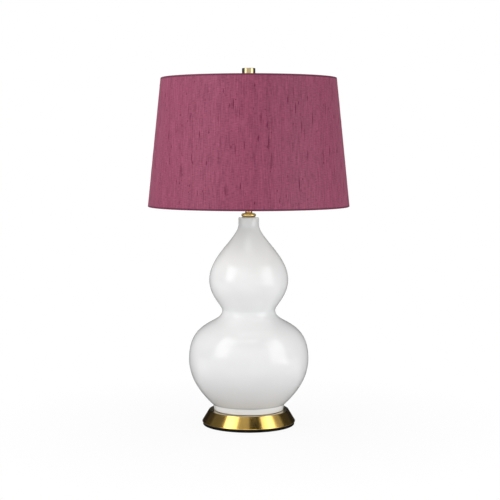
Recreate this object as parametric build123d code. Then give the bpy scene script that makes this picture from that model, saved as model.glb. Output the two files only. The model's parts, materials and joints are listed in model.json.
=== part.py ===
from build123d import *
import os
from math import cos, radians, sin, tan

# A bedside lamp: a white double-gourd ceramic body on a brass plinth, with a tapered fabric shade
# that hangs from the top of a wire harp. Millimetres. The origin is the centre of the base on the
# surface it stands on, +Z is up and the front is towards -Y.

# Fits
slip = 0.05  # radial clearance of a thread, drawn plain, and of a turning fit
seat_gap = 0.1  # between flat faces of pieces that part
overrun = 1.0  # how far a cutter runs past the face it cuts

# Base
pad_t = 5.0
pad_inset = 1.5  # the pad's edge lies this far in from the plinth's bead
plinth_foot_d = 177.0
plinth_top_d = 151.0
plinth_h = 23.0
plinth_wall = 1.2
plinth_bead_r = 1.2
plinth_edge_r = 1.5
weight_t = 4.0
weight_bore_d = 60.0
weight_room = 0.4
bush_rise = 12.0  # centre of the cord outlet above the plinth's foot
bush_bore_d = 7.0
bush_barrel_d = 9.6
bush_flange_d = 13.0
bush_flange_t = 2.0
bush_catch_d = 12.0
bush_catch_t = 1.2

# Ceramic body
foot_gasket_t = 0.8
foot_gasket_inset = 2.0
foot_bottom_d = 128.0
foot_top_d = 136.0
foot_h = 11.2
foot_edge_r = 1.5
foot_land = 9.0  # width of the ring that the body stands on
foot_recess_h = 8.0
crease_d = 139.0
lower_bulb_d = 226.8
lower_bulb_rise = 86.0  # from the crease to the widest place
waist_d = 100.4
waist_rise = 92.0
upper_bulb_d = 149.4
upper_bulb_rise = 58.0
collar_d = 38.6
collar_rise = 105.0
collar_h = 13.6
collar_edge_r = 2.5
ceramic_wall = 6.0
mouth_depth = 10.0
crease_lean = 46.0  # degrees from upright at which the lower bulb leaves the crease
lower_bulb_shares = (0.407, 0.403)
shoulder_shares = (0.822, 0.301)
upper_bulb_shares = (0.158, 0.525)
neck_shares = (0.434, 0.24)
inner_point_shares = (0.0, 0.25, 0.5, 0.75)

# Rod through the middle
rod_d = 10.0
rod_bore_d = 8.0
rod_room = 1.0  # radial room of the holes that only let the rod pass
rod_tail = 2.0  # the rod shows this far below its nut
washer_d = 28.0
washer_t = 2.0
lock_washer_d = 17.0
lock_washer_t = 1.0
lock_tooth_w = 1.6
lock_teeth = 10
nut_across = 14.0
nut_h = 4.0

# Brass stack between the body and the lampholder
mouth_gasket_t = 0.6
mouth_gasket_d = 25.0
vase_cap_d = 27.5
vase_cap_h = 7.0
neck_d = 13.2
neck_h = 9.3
neck_foot_flare = 1.6
neck_foot_h = 1.4
neck_screw_d = 3.2
neck_screw_rise = 2.2
neck_screw_sunk = 0.3
neck_screw_key = 1.6
neck_screw_key_depth = 1.0

# Harp
harp_h = 228.6  # from the saddle's floor to the shoulder that carries the shade
harp_wire_d = 3.5
harp_leg_gap = 60.0  # between the legs' centres at the saddle
harp_belly = 104.0  # between the wire's centres where the bow is widest
harp_leg_h = 26.0
harp_belly_rise = 62.0
harp_leg_bend = 18.0
harp_arch_r = 45.0
saddle_w = 14.0
saddle_t = 1.5
saddle_overhang = 4.0
ear_w = 5.0
ear_t = 1.2
ear_h = 9.0
ferrule_h = 10.0
ferrule_wall = 0.95
shoulder_d = 12.0
shoulder_h = 3.0
stud_d = 6.35
stud_l = 12.7
stud_tip = 0.6

# Lampholder
holder_boss_d = 15.0
holder_boss_h = 8.0
holder_cap_d = 35.6
holder_cap_h = 22.0
holder_cap_wall = 0.8
holder_cap_round = 6.0
holder_shell_h = 42.0
holder_shell_wall = 0.6
holder_lap = 3.0
holder_lip = 1.0
holder_liner_wall = 0.8
holder_core_h = 18.0
terminal_ring_d = 16.0
terminal_head_d = 4.4
terminal_head_h = 2.0
terminal_shank_d = 2.4
terminal_shank_l = 6.0
screw_shell_h = 20.0
screw_shell_wall = 0.5
screw_shell_flange_t = 0.5
contact_l = 15.0
contact_w = 5.0
contact_t = 0.5
contact_h = 1.5
switch_rise = 29.0  # centre of the switch shaft above the lampholder's foot
switch_shaft_d = 4.0
switch_shaft_grip = 7.0
switch_hole_room = 1.0
switch_reach = 20.0  # the knob's end stands this far out of the shell
knob_d = 10.0
knob_l = 12.0
knob_flutes = 12
knob_flute_d = 1.4
knob_edge_r = 0.8

# Bulb
bulb_d = 60.0
bulb_l = 107.0
bulb_screw_d = 26.2
bulb_screw_l = 27.0
bulb_screw_wall = 0.35
bulb_collar_h = 3.5
bulb_collar_flare = 0.4
bulb_tip_d = 8.0
bulb_tip_h = 1.2
bulb_insulator_d = 19.0
bulb_insulator_h = 3.8
bulb_glass_t = 0.8
bulb_neck_depth = 7.0
bulb_neck_shares = (0.36, 0.5)
stem_d = 5.0
stem_foot_h = 3.0
stem_h = 38.0
filament_wire_d = 1.0
filament_h = 14.0
filament_span = 22.0
filament_bend = 4.0

# Shade
shade_top_d = 330.0
shade_bottom_d = 380.0
shade_h = 241.3
shade_recess = 12.7  # the hub lies this far below the top edge
fabric_t = 0.6
liner_t = 0.8
shade_ring_wire_d = 3.0
fold_h = 9.0
ring_room = 0.05
hub_d = 28.0
hub_t = 1.5
hub_hole_room = 0.3
spider_arms = 3
spider_wire_d = 3.0
spider_drop_run = 14.0
spider_bend = 6.0
spider_grip = 6.0  # the arms reach this far under the hub

# Finial
seat_washer_d = 16.0
seat_washer_t = 1.0
finial_h = 29.5
finial_d = 25.0
finial_drum_h = 14.0
finial_edge_r = 1.0
finial_foot_d = 17.0
finial_foot_h = 2.5
finial_stem_d = 13.0
bush_insert_d = 9.2
bush_insert_l = 11.5
bush_insert_sunk = 0.5

# Wiring inside
wire_d = 1.8
wire_spacing = 2.4
wire_bend = 3.0
wire_end_bend = 2.0
wire_level = 4.5  # above the weight
block_l = 26.0
block_w = 15.0
block_h = 10.0
block_edge_r = 1.0
block_back = 45.0  # from the axis to the block's centre
block_pitch = 8.0
block_screw_d = 4.0
block_screw_h = 0.8
wire_splay_run = 6.0
wire_gather_run = 9.0

# Heights
plinth_z = pad_t
plinth_top_z = plinth_z + plinth_h
weight_top_z = plinth_z + weight_t
foot_z = plinth_top_z + foot_gasket_t
crease_z = foot_z + foot_h
lower_bulb_z = crease_z + lower_bulb_rise
waist_z = lower_bulb_z + waist_rise
upper_bulb_z = waist_z + upper_bulb_rise
collar_z = upper_bulb_z + collar_rise
mouth_z = collar_z + collar_h
vase_cap_z = mouth_z + mouth_gasket_t
neck_z = vase_cap_z + vase_cap_h
saddle_z = neck_z + neck_h
holder_z = saddle_z + saddle_t
shoulder_z = holder_z + harp_h
hub_z = shoulder_z + seat_gap
hub_top_z = hub_z + hub_t
shade_top_z = hub_top_z + shade_recess
shade_bottom_z = shade_top_z - shade_h
seat_washer_z = hub_top_z + seat_gap
finial_z = seat_washer_z + seat_washer_t + seat_gap
harp_wire_z = shoulder_z - shoulder_h - harp_wire_d / 2
washer_top_z = plinth_top_z - plinth_wall
nut_top_z = washer_top_z - washer_t - lock_washer_t
rod_bottom_z = nut_top_z - nut_h - rod_tail
rod_top_z = holder_z + holder_boss_h
core_z = holder_z + holder_cap_h - terminal_head_h
core_top_z = core_z + holder_core_h
contact_top_z = core_top_z + screw_shell_flange_t + contact_h
bulb_z = contact_top_z + seat_gap
switch_z = holder_z + switch_rise

# Radii that several pieces share
rod_pass_r = rod_d / 2 + rod_room
rod_fit_r = rod_d / 2 + slip
shell_r = holder_cap_d / 2 - holder_cap_wall
liner_r = shell_r - holder_shell_wall
core_r = liner_r - holder_liner_wall - slip
screw_r = bulb_screw_d / 2 + slip
stud_pass_r = stud_d / 2 + hub_hole_room


def turned(points, rounds=None):
    """A solid turned about Z from corners (radius, height); rounds gives some corners a radius."""
    radii = [(rounds or {}).get(i, 0.0) for i in range(len(points))]
    outline = FilletPolyline(*points, radius=radii, close=True)
    return revolve(make_face(Plane.XZ * outline), axis=Axis.Z)


def turned_edges(edges):
    """A solid turned about Z from edges drawn as (radius, height)."""
    return revolve(make_face([Plane.XZ * edge for edge in edges]), axis=Axis.Z)


def collar(outer_r, inner_r, low, high):
    """A plain ring, or a disc where inner_r is zero."""
    return turned([(inner_r, low), (outer_r, low), (outer_r, high), (inner_r, high)])


def bent_wire(points, bends, wire_r):
    """A round wire along straight runs joined by arcs."""
    path = FilletPolyline(*points, radius=bends)
    return sweep(Plane(origin=path @ 0, z_dir=path % 0) * Circle(wire_r), path=path)


def forward_rod(wire_r, near, far, height):
    """A round bar that runs towards the front, from near to far in front of the axis."""
    return Pos(0, -near, height) * Rot(90, 0, 0) * Cylinder(wire_r, far - near, align=standing)


def swell(low, high, shares, lean=0.0):
    """The curve from one (radius, height) to the next, upright at its ends or leaning out at its start."""
    rise = high[1] - low[1]
    first = (
        low[0] + shares[0] * rise * sin(radians(lean)),
        low[1] + shares[0] * rise * cos(radians(lean)),
    )
    return Bezier(low, first, (high[0], high[1] - shares[1] * rise), high)


standing = (Align.CENTER, Align.CENTER, Align.MIN)
hanging = (Align.CENTER, Align.CENTER, Align.MAX)


# Base
plinth_foot_r = plinth_foot_d / 2
skirt_foot_r = plinth_foot_r - plinth_bead_r / 2
skirt_foot_z = plinth_z + 2 * plinth_bead_r
skirt_run = skirt_foot_r - plinth_top_d / 2
skirt_rise = plinth_top_z - skirt_foot_z
skirt_side = (skirt_run**2 + skirt_rise**2) ** 0.5
skirt_wall_r = plinth_wall * skirt_side / skirt_rise
bush_z = plinth_z + bush_rise
bush_lean = 90 - Vector(skirt_rise, skirt_run).get_angle(Vector(0, 1))


def skirt_r(height):
    """The radius of the plinth's outer face at a height."""
    return skirt_foot_r - skirt_run * (height - skirt_foot_z) / skirt_rise


bush_place = Pos(0, skirt_r(bush_z), bush_z) * Rot(-90 + bush_lean, 0, 0)


def base_pad():
    return collar(plinth_foot_r - pad_inset, 0, 0, pad_t)


def base_weight():
    weight_r = skirt_r(weight_top_z) - skirt_wall_r - weight_room
    return collar(weight_r, weight_bore_d / 2, plinth_z, weight_top_z)


def base_plinth():
    skirt = turned(
        [
            (skirt_foot_r - skirt_wall_r, skirt_foot_z),
            (skirt_foot_r - plinth_bead_r / 2, skirt_foot_z - plinth_bead_r / 2),
            (skirt_foot_r, skirt_foot_z),
            (plinth_top_d / 2, plinth_top_z),
            (rod_pass_r, plinth_top_z),
            (rod_pass_r, plinth_top_z - plinth_wall),
            (plinth_top_d / 2 - skirt_wall_r / 2, plinth_top_z - plinth_wall),
        ],
        {3: plinth_edge_r},
    )
    bead = Pos(0, 0, plinth_z + plinth_bead_r) * Torus(plinth_foot_r - plinth_bead_r, plinth_bead_r)
    outlet = bush_place * Cylinder(bush_barrel_d / 2, 2 * bush_flange_d)
    return skirt + bead - outlet


def cord_bush():
    inner_end = -plinth_wall - bush_catch_t
    barrel = turned(
        [
            (bush_bore_d / 2, inner_end),
            (bush_barrel_d / 2, inner_end),
            (bush_catch_d / 2, inner_end + bush_catch_t),
            (bush_barrel_d / 2, inner_end + bush_catch_t),
            (bush_barrel_d / 2, 0),
            (bush_flange_d / 2, -plinth_wall / 2),
            (bush_flange_d / 2, bush_flange_t / 2),
            (bush_barrel_d / 2, bush_flange_t),
            (bush_bore_d / 2, bush_flange_t),
        ]
    )
    return bush_place * barrel - base_plinth()


# Ceramic body
outline_low = (crease_d / 2, crease_z)
outline_belly = (lower_bulb_d / 2, lower_bulb_z)
outline_waist = (waist_d / 2, waist_z)
outline_upper = (upper_bulb_d / 2, upper_bulb_z)
outline_collar = (collar_d / 2, collar_z)
gourd = [
    swell(outline_low, outline_belly, lower_bulb_shares, crease_lean),
    swell(outline_belly, outline_waist, shoulder_shares),
    swell(outline_waist, outline_upper, upper_bulb_shares),
    swell(outline_upper, outline_collar, neck_shares),
]


def foot_gasket():
    outer_r = foot_bottom_d / 2 - foot_gasket_inset
    inner_r = foot_bottom_d / 2 - foot_land + foot_gasket_inset
    return collar(outer_r, inner_r, plinth_top_z, foot_z)


def ceramic_hollow():
    """The space inside the body, one wall in from its outline."""
    places = [(edge @ share, edge % share) for edge in gourd for share in inner_point_shares]
    places.append((gourd[-1] @ 1, gourd[-1] % 1))
    inner = [(p.X - ceramic_wall * d.Y, p.Y + ceramic_wall * d.X) for p, d in places]
    (low_r, low_z), (high_r, high_z) = inner[0], inner[-1]
    roof_z = mouth_z - mouth_depth
    return turned_edges(
        [
            Line((0, low_z), (low_r, low_z)),
            Spline(*inner),
            Polyline((high_r, high_z), (high_r, roof_z), (0, roof_z)),
            Line((0, roof_z), (0, low_z)),
        ]
    )


def ceramic_body():
    bulbs = turned_edges(
        gourd
        + [
            Polyline(outline_collar, (collar_d / 2, mouth_z), (0, mouth_z), (0, crease_z), outline_low),
        ]
    )
    lip = bulbs.edges().filter_by(GeomType.CIRCLE).group_by(Axis.Z)[-1]
    foot = turned(
        [
            (0, foot_z),
            (foot_bottom_d / 2, foot_z),
            (foot_top_d / 2, crease_z),
            (0, crease_z),
        ],
        {1: foot_edge_r},
    )
    recess = collar(foot_bottom_d / 2 - foot_land, 0, foot_z - overrun, foot_z + foot_recess_h)
    bore = collar(rod_pass_r, 0, foot_z, mouth_z + overrun)
    return fillet(lip, collar_edge_r) + foot - recess - ceramic_hollow() - bore


# Rod and what clamps the base
def threaded_rod():
    return collar(rod_d / 2, rod_bore_d / 2, rod_bottom_z, rod_top_z)


def rod_washer():
    return collar(washer_d / 2, rod_fit_r, washer_top_z - washer_t, washer_top_z)


def lock_washer():
    ring = collar(lock_washer_d / 2, rod_fit_r, nut_top_z, nut_top_z + lock_washer_t)
    notch = Box(lock_tooth_w, lock_tooth_w, lock_washer_t + overrun)
    middle_z = nut_top_z + lock_washer_t / 2
    return ring - [Rot(0, 0, 360 * i / lock_teeth) * Pos(lock_washer_d / 2, 0, middle_z) * notch
                   for i in range(lock_teeth)]


def rod_nut():
    flats = extrude(RegularPolygon(nut_across / 2, 6, major_radius=False), nut_h)
    return Pos(0, 0, nut_top_z - nut_h) * flats - collar(rod_fit_r, 0, nut_top_z - nut_h - overrun,
                                                         nut_top_z + overrun)


# Wiring: three wires from the block in the plinth, up the rod, to the lampholder's terminals
live_place = (wire_spacing / 2, wire_spacing * tan(radians(30)) / 2)
neutral_place = (-wire_spacing / 2, wire_spacing * tan(radians(30)) / 2)
earth_place = (0, -wire_spacing * tan(radians(30)))
block_front = block_back - block_w / 2
terminal_z = core_z - terminal_head_h


def terminal_block():
    body = Pos(0, block_back, weight_top_z) * Box(block_l, block_w, block_h, align=standing)
    body = fillet(body.edges().filter_by(Axis.Z), block_edge_r)
    sinks = [Pos(i * block_pitch, block_back, weight_top_z + block_h)
             * Cylinder(block_screw_d / 2, 2 * block_screw_h, align=hanging) for i in (-1, 0, 1)]
    return body - sinks


def block_screws():
    slot = Box(block_screw_d + overrun, block_screw_h, block_screw_h)
    screw = Cylinder(block_screw_d / 2 - slip, block_screw_h, align=standing)
    screw -= Pos(0, 0, block_screw_h) * slot
    low = weight_top_z + block_h - 2 * block_screw_h
    return [Pos(i * block_pitch, block_back, low) * screw for i in (-1, 0, 1)]


def lead(place, side, depth, ring_angle):
    """One insulated wire; side is its way out of the block and depth lowers it under the other two."""
    x, y = place
    level = weight_top_z + wire_level - depth
    end_x = terminal_ring_d / 2 * cos(radians(ring_angle))
    end_y = terminal_ring_d / 2 * sin(radians(ring_angle))
    splay = side * block_pitch
    turn_z = rod_top_z + wire_d
    rise = (terminal_z - turn_z) / 3
    start = [(splay, block_front, level)]
    if side:
        start += [(splay, block_front - wire_splay_run, level)]
        start += [(x, block_front - wire_splay_run - wire_gather_run, level)]
    climb = [(x, y, level), (x, y, turn_z), (end_x, end_y, turn_z + rise), (end_x, end_y, terminal_z)]
    bends = [wire_bend] * (len(start) - 1) + [wire_bend, wire_end_bend, wire_end_bend]
    return bent_wire(start + climb, bends, wire_d / 2)


def live_wire():
    return lead(live_place, 1, 0, 0)


def neutral_wire():
    return lead(neutral_place, -1, 0, 180)


def earth_wire():
    return lead(earth_place, 0, wire_d + slip, 270)


# Brass stack on the ceramic mouth
def mouth_gasket():
    return collar(mouth_gasket_d / 2, rod_fit_r, mouth_z, vase_cap_z)


def vase_cap():
    edge_r = vase_cap_h / 2 - slip
    return turned(
        [
            (rod_fit_r, vase_cap_z),
            (vase_cap_d / 2, vase_cap_z),
            (vase_cap_d / 2, neck_z),
            (rod_fit_r, neck_z),
        ],
        {1: edge_r, 2: edge_r},
    )


def neck_sleeve():
    neck_r = neck_d / 2
    tube = turned(
        [
            (rod_fit_r, neck_z),
            (neck_r + neck_foot_flare, neck_z),
            (neck_r, neck_z + neck_foot_h),
            (neck_r, saddle_z),
            (rod_fit_r, saddle_z),
        ],
        {2: neck_foot_h},
    )
    return tube - forward_rod(neck_screw_d / 2 + slip, 0, neck_d, neck_z + neck_screw_rise)


def neck_screw():
    height = neck_z + neck_screw_rise
    far = neck_d / 2 - neck_screw_sunk
    key = extrude(RegularPolygon(neck_screw_key / 2, 6, major_radius=False), neck_screw_key_depth + overrun)
    socket = Pos(0, -far - overrun, height) * Rot(-90, 0, 0) * key
    return forward_rod(neck_screw_d / 2, rod_d / 2 + slip, far, height) - socket


# Harp
leg_x = harp_leg_gap / 2
ear_outer_x = leg_x - harp_wire_d / 2 - slip
ear_inner_x = ear_outer_x - ear_t
ferrule_x = (ear_inner_x + leg_x + harp_wire_d / 2) / 2
ferrule_bore_r = ((ferrule_x - ear_inner_x) ** 2 + (ear_w / 2) ** 2) ** 0.5 + slip
ferrule_r = ferrule_bore_r + ferrule_wall
ferrule_z = holder_z + seat_gap


def harp_saddle():
    floor_l = 2 * (leg_x + saddle_overhang)
    floor = Pos(0, 0, saddle_z) * Box(floor_l, saddle_w, saddle_t, align=standing)
    floor = fillet(floor.edges().filter_by(Axis.Z), saddle_w / 3)
    ear = Box(ear_t, ear_w, ear_h, align=standing)
    ears = [Pos(side * (ear_outer_x - ear_t / 2), 0, holder_z) * ear for side in (-1, 1)]
    return floor + ears - collar(rod_fit_r, 0, saddle_z - overrun, holder_z + overrun)


def harp_bow():
    belly_x = harp_belly / 2
    half = [
        (leg_x, 0, ferrule_z),
        (leg_x, 0, holder_z + harp_leg_h),
        (belly_x, 0, holder_z + harp_belly_rise),
        (belly_x, 0, harp_wire_z),
    ]
    far_half = [(-x, y, z) for x, y, z in reversed(half)]
    bends = [harp_leg_bend, harp_leg_bend, harp_arch_r]
    return bent_wire(half + far_half, bends + bends[::-1], harp_wire_d / 2)


def harp_stud():
    tip_z = shoulder_z + stud_l
    turned_stud = turned(
        [
            (0, harp_wire_z),
            (shoulder_d / 2, harp_wire_z),
            (shoulder_d / 2, shoulder_z),
            (stud_d / 2, shoulder_z),
            (stud_d / 2, tip_z - stud_tip),
            (stud_d / 2 - stud_tip, tip_z),
            (0, tip_z),
        ]
    )
    return turned_stud - harp_bow()


def ferrule(side):
    sleeve = collar(ferrule_r, ferrule_bore_r, ferrule_z, ferrule_z + ferrule_h)
    return Pos(side * ferrule_x, 0, 0) * sleeve


# Lampholder
def holder_cap():
    cap_r = holder_cap_d / 2
    wall = holder_cap_wall
    boss_top = holder_z + holder_boss_h
    top = holder_z + holder_cap_h
    return turned(
        [
            (rod_fit_r, holder_z),
            (holder_boss_d / 2, holder_z),
            (holder_boss_d / 2, boss_top - wall),
            (cap_r, boss_top - wall),
            (cap_r, top),
            (cap_r - wall, top),
            (cap_r - wall, boss_top),
            (rod_fit_r, boss_top),
        ],
        {3: holder_cap_round, 6: holder_cap_round - wall},
    )


def switch_hole():
    return forward_rod(switch_shaft_d / 2 + switch_hole_room, 0, holder_cap_d, switch_z)


def holder_shell():
    low = holder_z + holder_cap_h - holder_lap
    high = low + holder_shell_h
    shell = turned(
        [
            (shell_r - holder_shell_wall, low),
            (shell_r, low),
            (shell_r, high),
            (shell_r - holder_shell_wall - holder_lip, high),
            (shell_r - holder_shell_wall - holder_lip, high - holder_shell_wall),
            (shell_r - holder_shell_wall, high - holder_shell_wall),
        ]
    )
    return shell - switch_hole()


def holder_liner():
    high = holder_z + holder_cap_h - holder_lap + holder_shell_h - holder_shell_wall
    return collar(liner_r, liner_r - holder_liner_wall, core_z, high) - switch_hole()


def terminal_places():
    return [Rot(0, 0, angle) * Pos(terminal_ring_d / 2, 0, core_z) for angle in (0, 180, 270)]


def holder_core():
    core = collar(core_r, 0, core_z, core_top_z)
    holes = [place * Cylinder(terminal_shank_d / 2 + slip, terminal_shank_l, align=standing)
             for place in terminal_places()]
    shaft_end = core_r - switch_shaft_grip
    return core - holes - forward_rod(switch_shaft_d / 2 + slip, shaft_end, core_r + overrun, switch_z)


def terminal_screws():
    screw = Cylinder(terminal_head_d / 2, terminal_head_h, align=hanging) + Cylinder(
        terminal_shank_d / 2, terminal_shank_l - slip, align=standing
    )
    return [place * screw for place in terminal_places()]


def screw_shell():
    outer_r = screw_r + screw_shell_wall
    return turned(
        [
            (contact_l / 2 + screw_shell_wall, core_top_z),
            (outer_r, core_top_z),
            (outer_r, core_top_z + screw_shell_h),
            (screw_r, core_top_z + screw_shell_h),
            (screw_r, core_top_z + screw_shell_flange_t),
            (contact_l / 2 + screw_shell_wall, core_top_z + screw_shell_flange_t),
        ]
    )


def centre_contact():
    strip = Pos(0, 0, core_top_z) * Box(contact_l, contact_w, contact_t, align=standing)
    tongue = Pos(0, 0, core_top_z) * Box(contact_w, contact_w, contact_top_z - core_top_z, align=standing)
    return strip + fillet(tongue.edges().group_by(Axis.Z)[-1].filter_by(Axis.Y), contact_t)


def switch_shaft():
    inner_end = core_r - switch_shaft_grip + slip
    return forward_rod(switch_shaft_d / 2, inner_end, shell_r + switch_reach, switch_z)


def switch_knob():
    end = shell_r + switch_reach
    barrel = Cylinder(knob_d / 2, knob_l, align=standing)
    barrel = fillet(barrel.edges().filter_by(GeomType.CIRCLE), knob_edge_r)
    flute = Cylinder(knob_flute_d / 2, 2 * knob_l)
    barrel -= [Rot(0, 0, 360 * i / knob_flutes) * Pos(knob_d / 2, 0, 0) * flute for i in range(knob_flutes)]
    return Pos(0, -(end - knob_l), switch_z) * Rot(90, 0, 0) * barrel - switch_shaft()


# Bulb, with heights from its tip
screw_top_z = bulb_z + bulb_screw_l
insulator_z = bulb_z + bulb_tip_h
bulb_shell_z = insulator_z + bulb_insulator_h
glass_neck_r = bulb_screw_d / 2 - bulb_screw_wall - slip
glass_foot_z = screw_top_z - bulb_neck_depth
glass_middle_z = bulb_z + bulb_l - bulb_d / 2


def bulb_envelope(inset, foot_z):
    """The glass's outline, inset all round, as a solid."""
    neck = (glass_neck_r - inset, screw_top_z)
    belly = (bulb_d / 2 - inset, glass_middle_z)
    crown = (0, glass_middle_z + bulb_d / 2 - inset)
    dome = CenterArc((0, glass_middle_z), bulb_d / 2 - inset, 0, 90)
    return turned_edges(
        [
            Polyline(crown, (0, foot_z), (glass_neck_r - inset, foot_z), neck),
            swell(neck, belly, bulb_neck_shares),
            dome,
        ]
    )


def bulb_glass():
    return bulb_envelope(0, glass_foot_z) - bulb_envelope(bulb_glass_t, glass_foot_z - overrun)


def bulb_cap():
    outer_r = bulb_screw_d / 2
    inner_r = outer_r - bulb_screw_wall
    collar_low = screw_top_z - bulb_collar_h
    return turned(
        [
            (inner_r, bulb_shell_z),
            (outer_r, bulb_shell_z),
            (outer_r, collar_low),
            (outer_r + bulb_collar_flare, screw_top_z),
            (inner_r, screw_top_z),
        ]
    )


def bulb_insulator():
    rim_r = bulb_screw_d / 2 - bulb_screw_wall
    return turned(
        [
            (0, insulator_z),
            (bulb_insulator_d / 2, insulator_z),
            (bulb_screw_d / 2, bulb_shell_z),
            (rim_r, bulb_shell_z),
            (rim_r, bulb_shell_z + bulb_tip_h),
            (0, bulb_shell_z + bulb_tip_h),
        ]
    )


def bulb_contact():
    return turned(
        [
            (0, bulb_z),
            (bulb_tip_d / 2 - bulb_tip_h / 2, bulb_z),
            (bulb_tip_d / 2, insulator_z - slip),
            (0, insulator_z - slip),
        ]
    )


def bulb_stem():
    foot_r = glass_neck_r - bulb_glass_t - slip
    post_z = glass_foot_z + stem_foot_h
    return turned(
        [
            (0, glass_foot_z),
            (foot_r, glass_foot_z),
            (foot_r, post_z),
            (stem_d / 2, post_z + foot_r - stem_d / 2),
            (stem_d / 2, post_z + stem_h),
            (0, post_z + stem_h),
        ]
    )


def bulb_filament():
    low = glass_foot_z + stem_foot_h + stem_h
    high = low + filament_h
    near = stem_d / 2 - filament_wire_d
    far = filament_span / 2
    lead_z = low + filament_wire_d * 2
    half = [(near, 0, low), (near, 0, lead_z), (far, 0, high - filament_bend), (far, 0, high)]
    bend = filament_wire_d
    bends = [bend, bend, filament_bend / 2]
    return bent_wire(
        half + [(-x, y, z) for x, y, z in reversed(half)], bends + bends[::-1], filament_wire_d / 2
    )


# Shade
shade_slope = (shade_bottom_d - shade_top_d) / 2 / shade_h
ring_r = shade_ring_wire_d / 2
ring_inset = fabric_t + liner_t + ring_r + ring_room
fold_inset = ring_inset + ring_r + ring_room
ring_edge = fabric_t + ring_r + ring_room
hub_r = hub_d / 2


def shade_r(height, inset=0.0):
    """The shade's radius at a height, less an inset."""
    return shade_top_d / 2 + (shade_top_z - height) * shade_slope - inset


def shade_fabric():
    """The cloth, turned over both rings; it is open at the top and bottom."""
    skin, tuck = fabric_t, fold_inset + fabric_t
    low, high = shade_bottom_z, shade_top_z
    stations = [
        (low, 0),
        (high, 0),
        (high, tuck),
        (high - fold_h, tuck),
        (high - fold_h, fold_inset),
        (high - skin, fold_inset),
        (high - skin, skin),
        (low + skin, skin),
        (low + skin, fold_inset),
        (low + fold_h, fold_inset),
        (low + fold_h, tuck),
        (low, tuck),
    ]
    cloth = turned(
        [(shade_r(z, inset), z) for z, inset in stations],
        {0: ring_r, 1: ring_r, 2: ring_r, 11: ring_r},
    )
    return cloth - [spider_arm(index) for index in range(spider_arms)]


def shade_liner():
    low, high = shade_bottom_z + fabric_t + ring_room, shade_top_z - fabric_t - ring_room
    inner = fabric_t + ring_room + liner_t - 2 * ring_room
    outer = fabric_t + ring_room
    return turned([(shade_r(low, outer), low), (shade_r(high, outer), high),
                   (shade_r(high, inner), high), (shade_r(low, inner), low)])


def shade_ring(height):
    return Pos(0, 0, height) * Torus(shade_r(height, ring_inset), ring_r)


def top_ring():
    return shade_ring(shade_top_z - ring_edge)


def bottom_ring():
    return shade_ring(shade_bottom_z + ring_edge)


def spider_arm(index):
    """A wire from the top ring, through a slit in the turned cloth, down to the hub."""
    high = shade_top_z - ring_edge
    low = hub_z - spider_wire_d / 2
    rim = shade_r(high, ring_inset)
    path = [(rim, 0, high), (rim - spider_drop_run, 0, low), (hub_r - spider_grip, 0, low)]
    arm = bent_wire(path, [spider_bend], spider_wire_d / 2) - top_ring()
    return Rot(0, 0, 90 + 360 * index / spider_arms) * arm


def spider_hub():
    return collar(hub_r, stud_pass_r, hub_z, hub_top_z)


# Finial
def seat_washer():
    return collar(seat_washer_d / 2, stud_pass_r, seat_washer_z, seat_washer_z + seat_washer_t)


def finial_bush():
    low = finial_z + bush_insert_sunk
    return collar(bush_insert_d / 2, stud_d / 2 + slip, low, low + bush_insert_l)


def finial_knob():
    pocket_r = bush_insert_d / 2 + slip
    roof = finial_z + bush_insert_sunk + bush_insert_l + slip
    drum_z = finial_z + finial_h - finial_drum_h
    top = finial_z + finial_h
    return turned(
        [
            (pocket_r, finial_z),
            (finial_foot_d / 2, finial_z),
            (finial_foot_d / 2, finial_z + finial_foot_h),
            (finial_stem_d / 2, finial_z + 2 * finial_foot_h),
            (finial_stem_d / 2, drum_z),
            (finial_d / 2, drum_z),
            (finial_d / 2, top),
            (0, top),
            (0, roof),
            (pocket_r, roof),
        ],
        {5: finial_edge_r, 6: finial_edge_r},
    )


pieces = {
    "base_pad": base_pad(),
    "base_weight": base_weight(),
    "base_plinth": base_plinth(),
    "cord_bush": cord_bush(),
    "foot_gasket": foot_gasket(),
    "ceramic_body": ceramic_body(),
    "threaded_rod": threaded_rod(),
    "rod_washer": rod_washer(),
    "lock_washer": lock_washer(),
    "rod_nut": rod_nut(),
    "terminal_block": terminal_block(),
    "block_screws": block_screws(),
    "live_wire": live_wire(),
    "neutral_wire": neutral_wire(),
    "earth_wire": earth_wire(),
    "mouth_gasket": mouth_gasket(),
    "vase_cap": vase_cap(),
    "neck_sleeve": neck_sleeve(),
    "neck_screw": neck_screw(),
    "harp_saddle": harp_saddle(),
    "harp_bow": harp_bow(),
    "harp_stud": harp_stud(),
    "ferrule_left": ferrule(-1),
    "ferrule_right": ferrule(1),
    "holder_cap": holder_cap(),
    "holder_shell": holder_shell(),
    "holder_liner": holder_liner(),
    "holder_core": holder_core(),
    "terminal_screws": terminal_screws(),
    "screw_shell": screw_shell(),
    "centre_contact": centre_contact(),
    "switch_shaft": switch_shaft(),
    "switch_knob": switch_knob(),
    "bulb_glass": bulb_glass(),
    "bulb_cap": bulb_cap(),
    "bulb_insulator": bulb_insulator(),
    "bulb_contact": bulb_contact(),
    "bulb_stem": bulb_stem(),
    "bulb_filament": bulb_filament(),
    "shade_fabric": shade_fabric(),
    "shade_liner": shade_liner(),
    "top_ring": top_ring(),
    "bottom_ring": bottom_ring(),
    "spider_hub": spider_hub(),
    "seat_washer": seat_washer(),
    "finial_bush": finial_bush(),
    "finial_knob": finial_knob(),
}
pieces |= {f"spider_arm_{i + 1}": spider_arm(i) for i in range(spider_arms)}

os.makedirs("parts", exist_ok=True)
for name, piece in pieces.items():
    solids = piece if isinstance(piece, list) else piece.solids()
    export_step(Compound(children=list(solids)), f"parts/{name}.step")
    print(name, len(solids))
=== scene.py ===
import json
import logging
from dataclasses import asdict, dataclass, field
from enum import Enum
from math import atan2, cos, hypot, pi, radians, sin, tan

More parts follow.
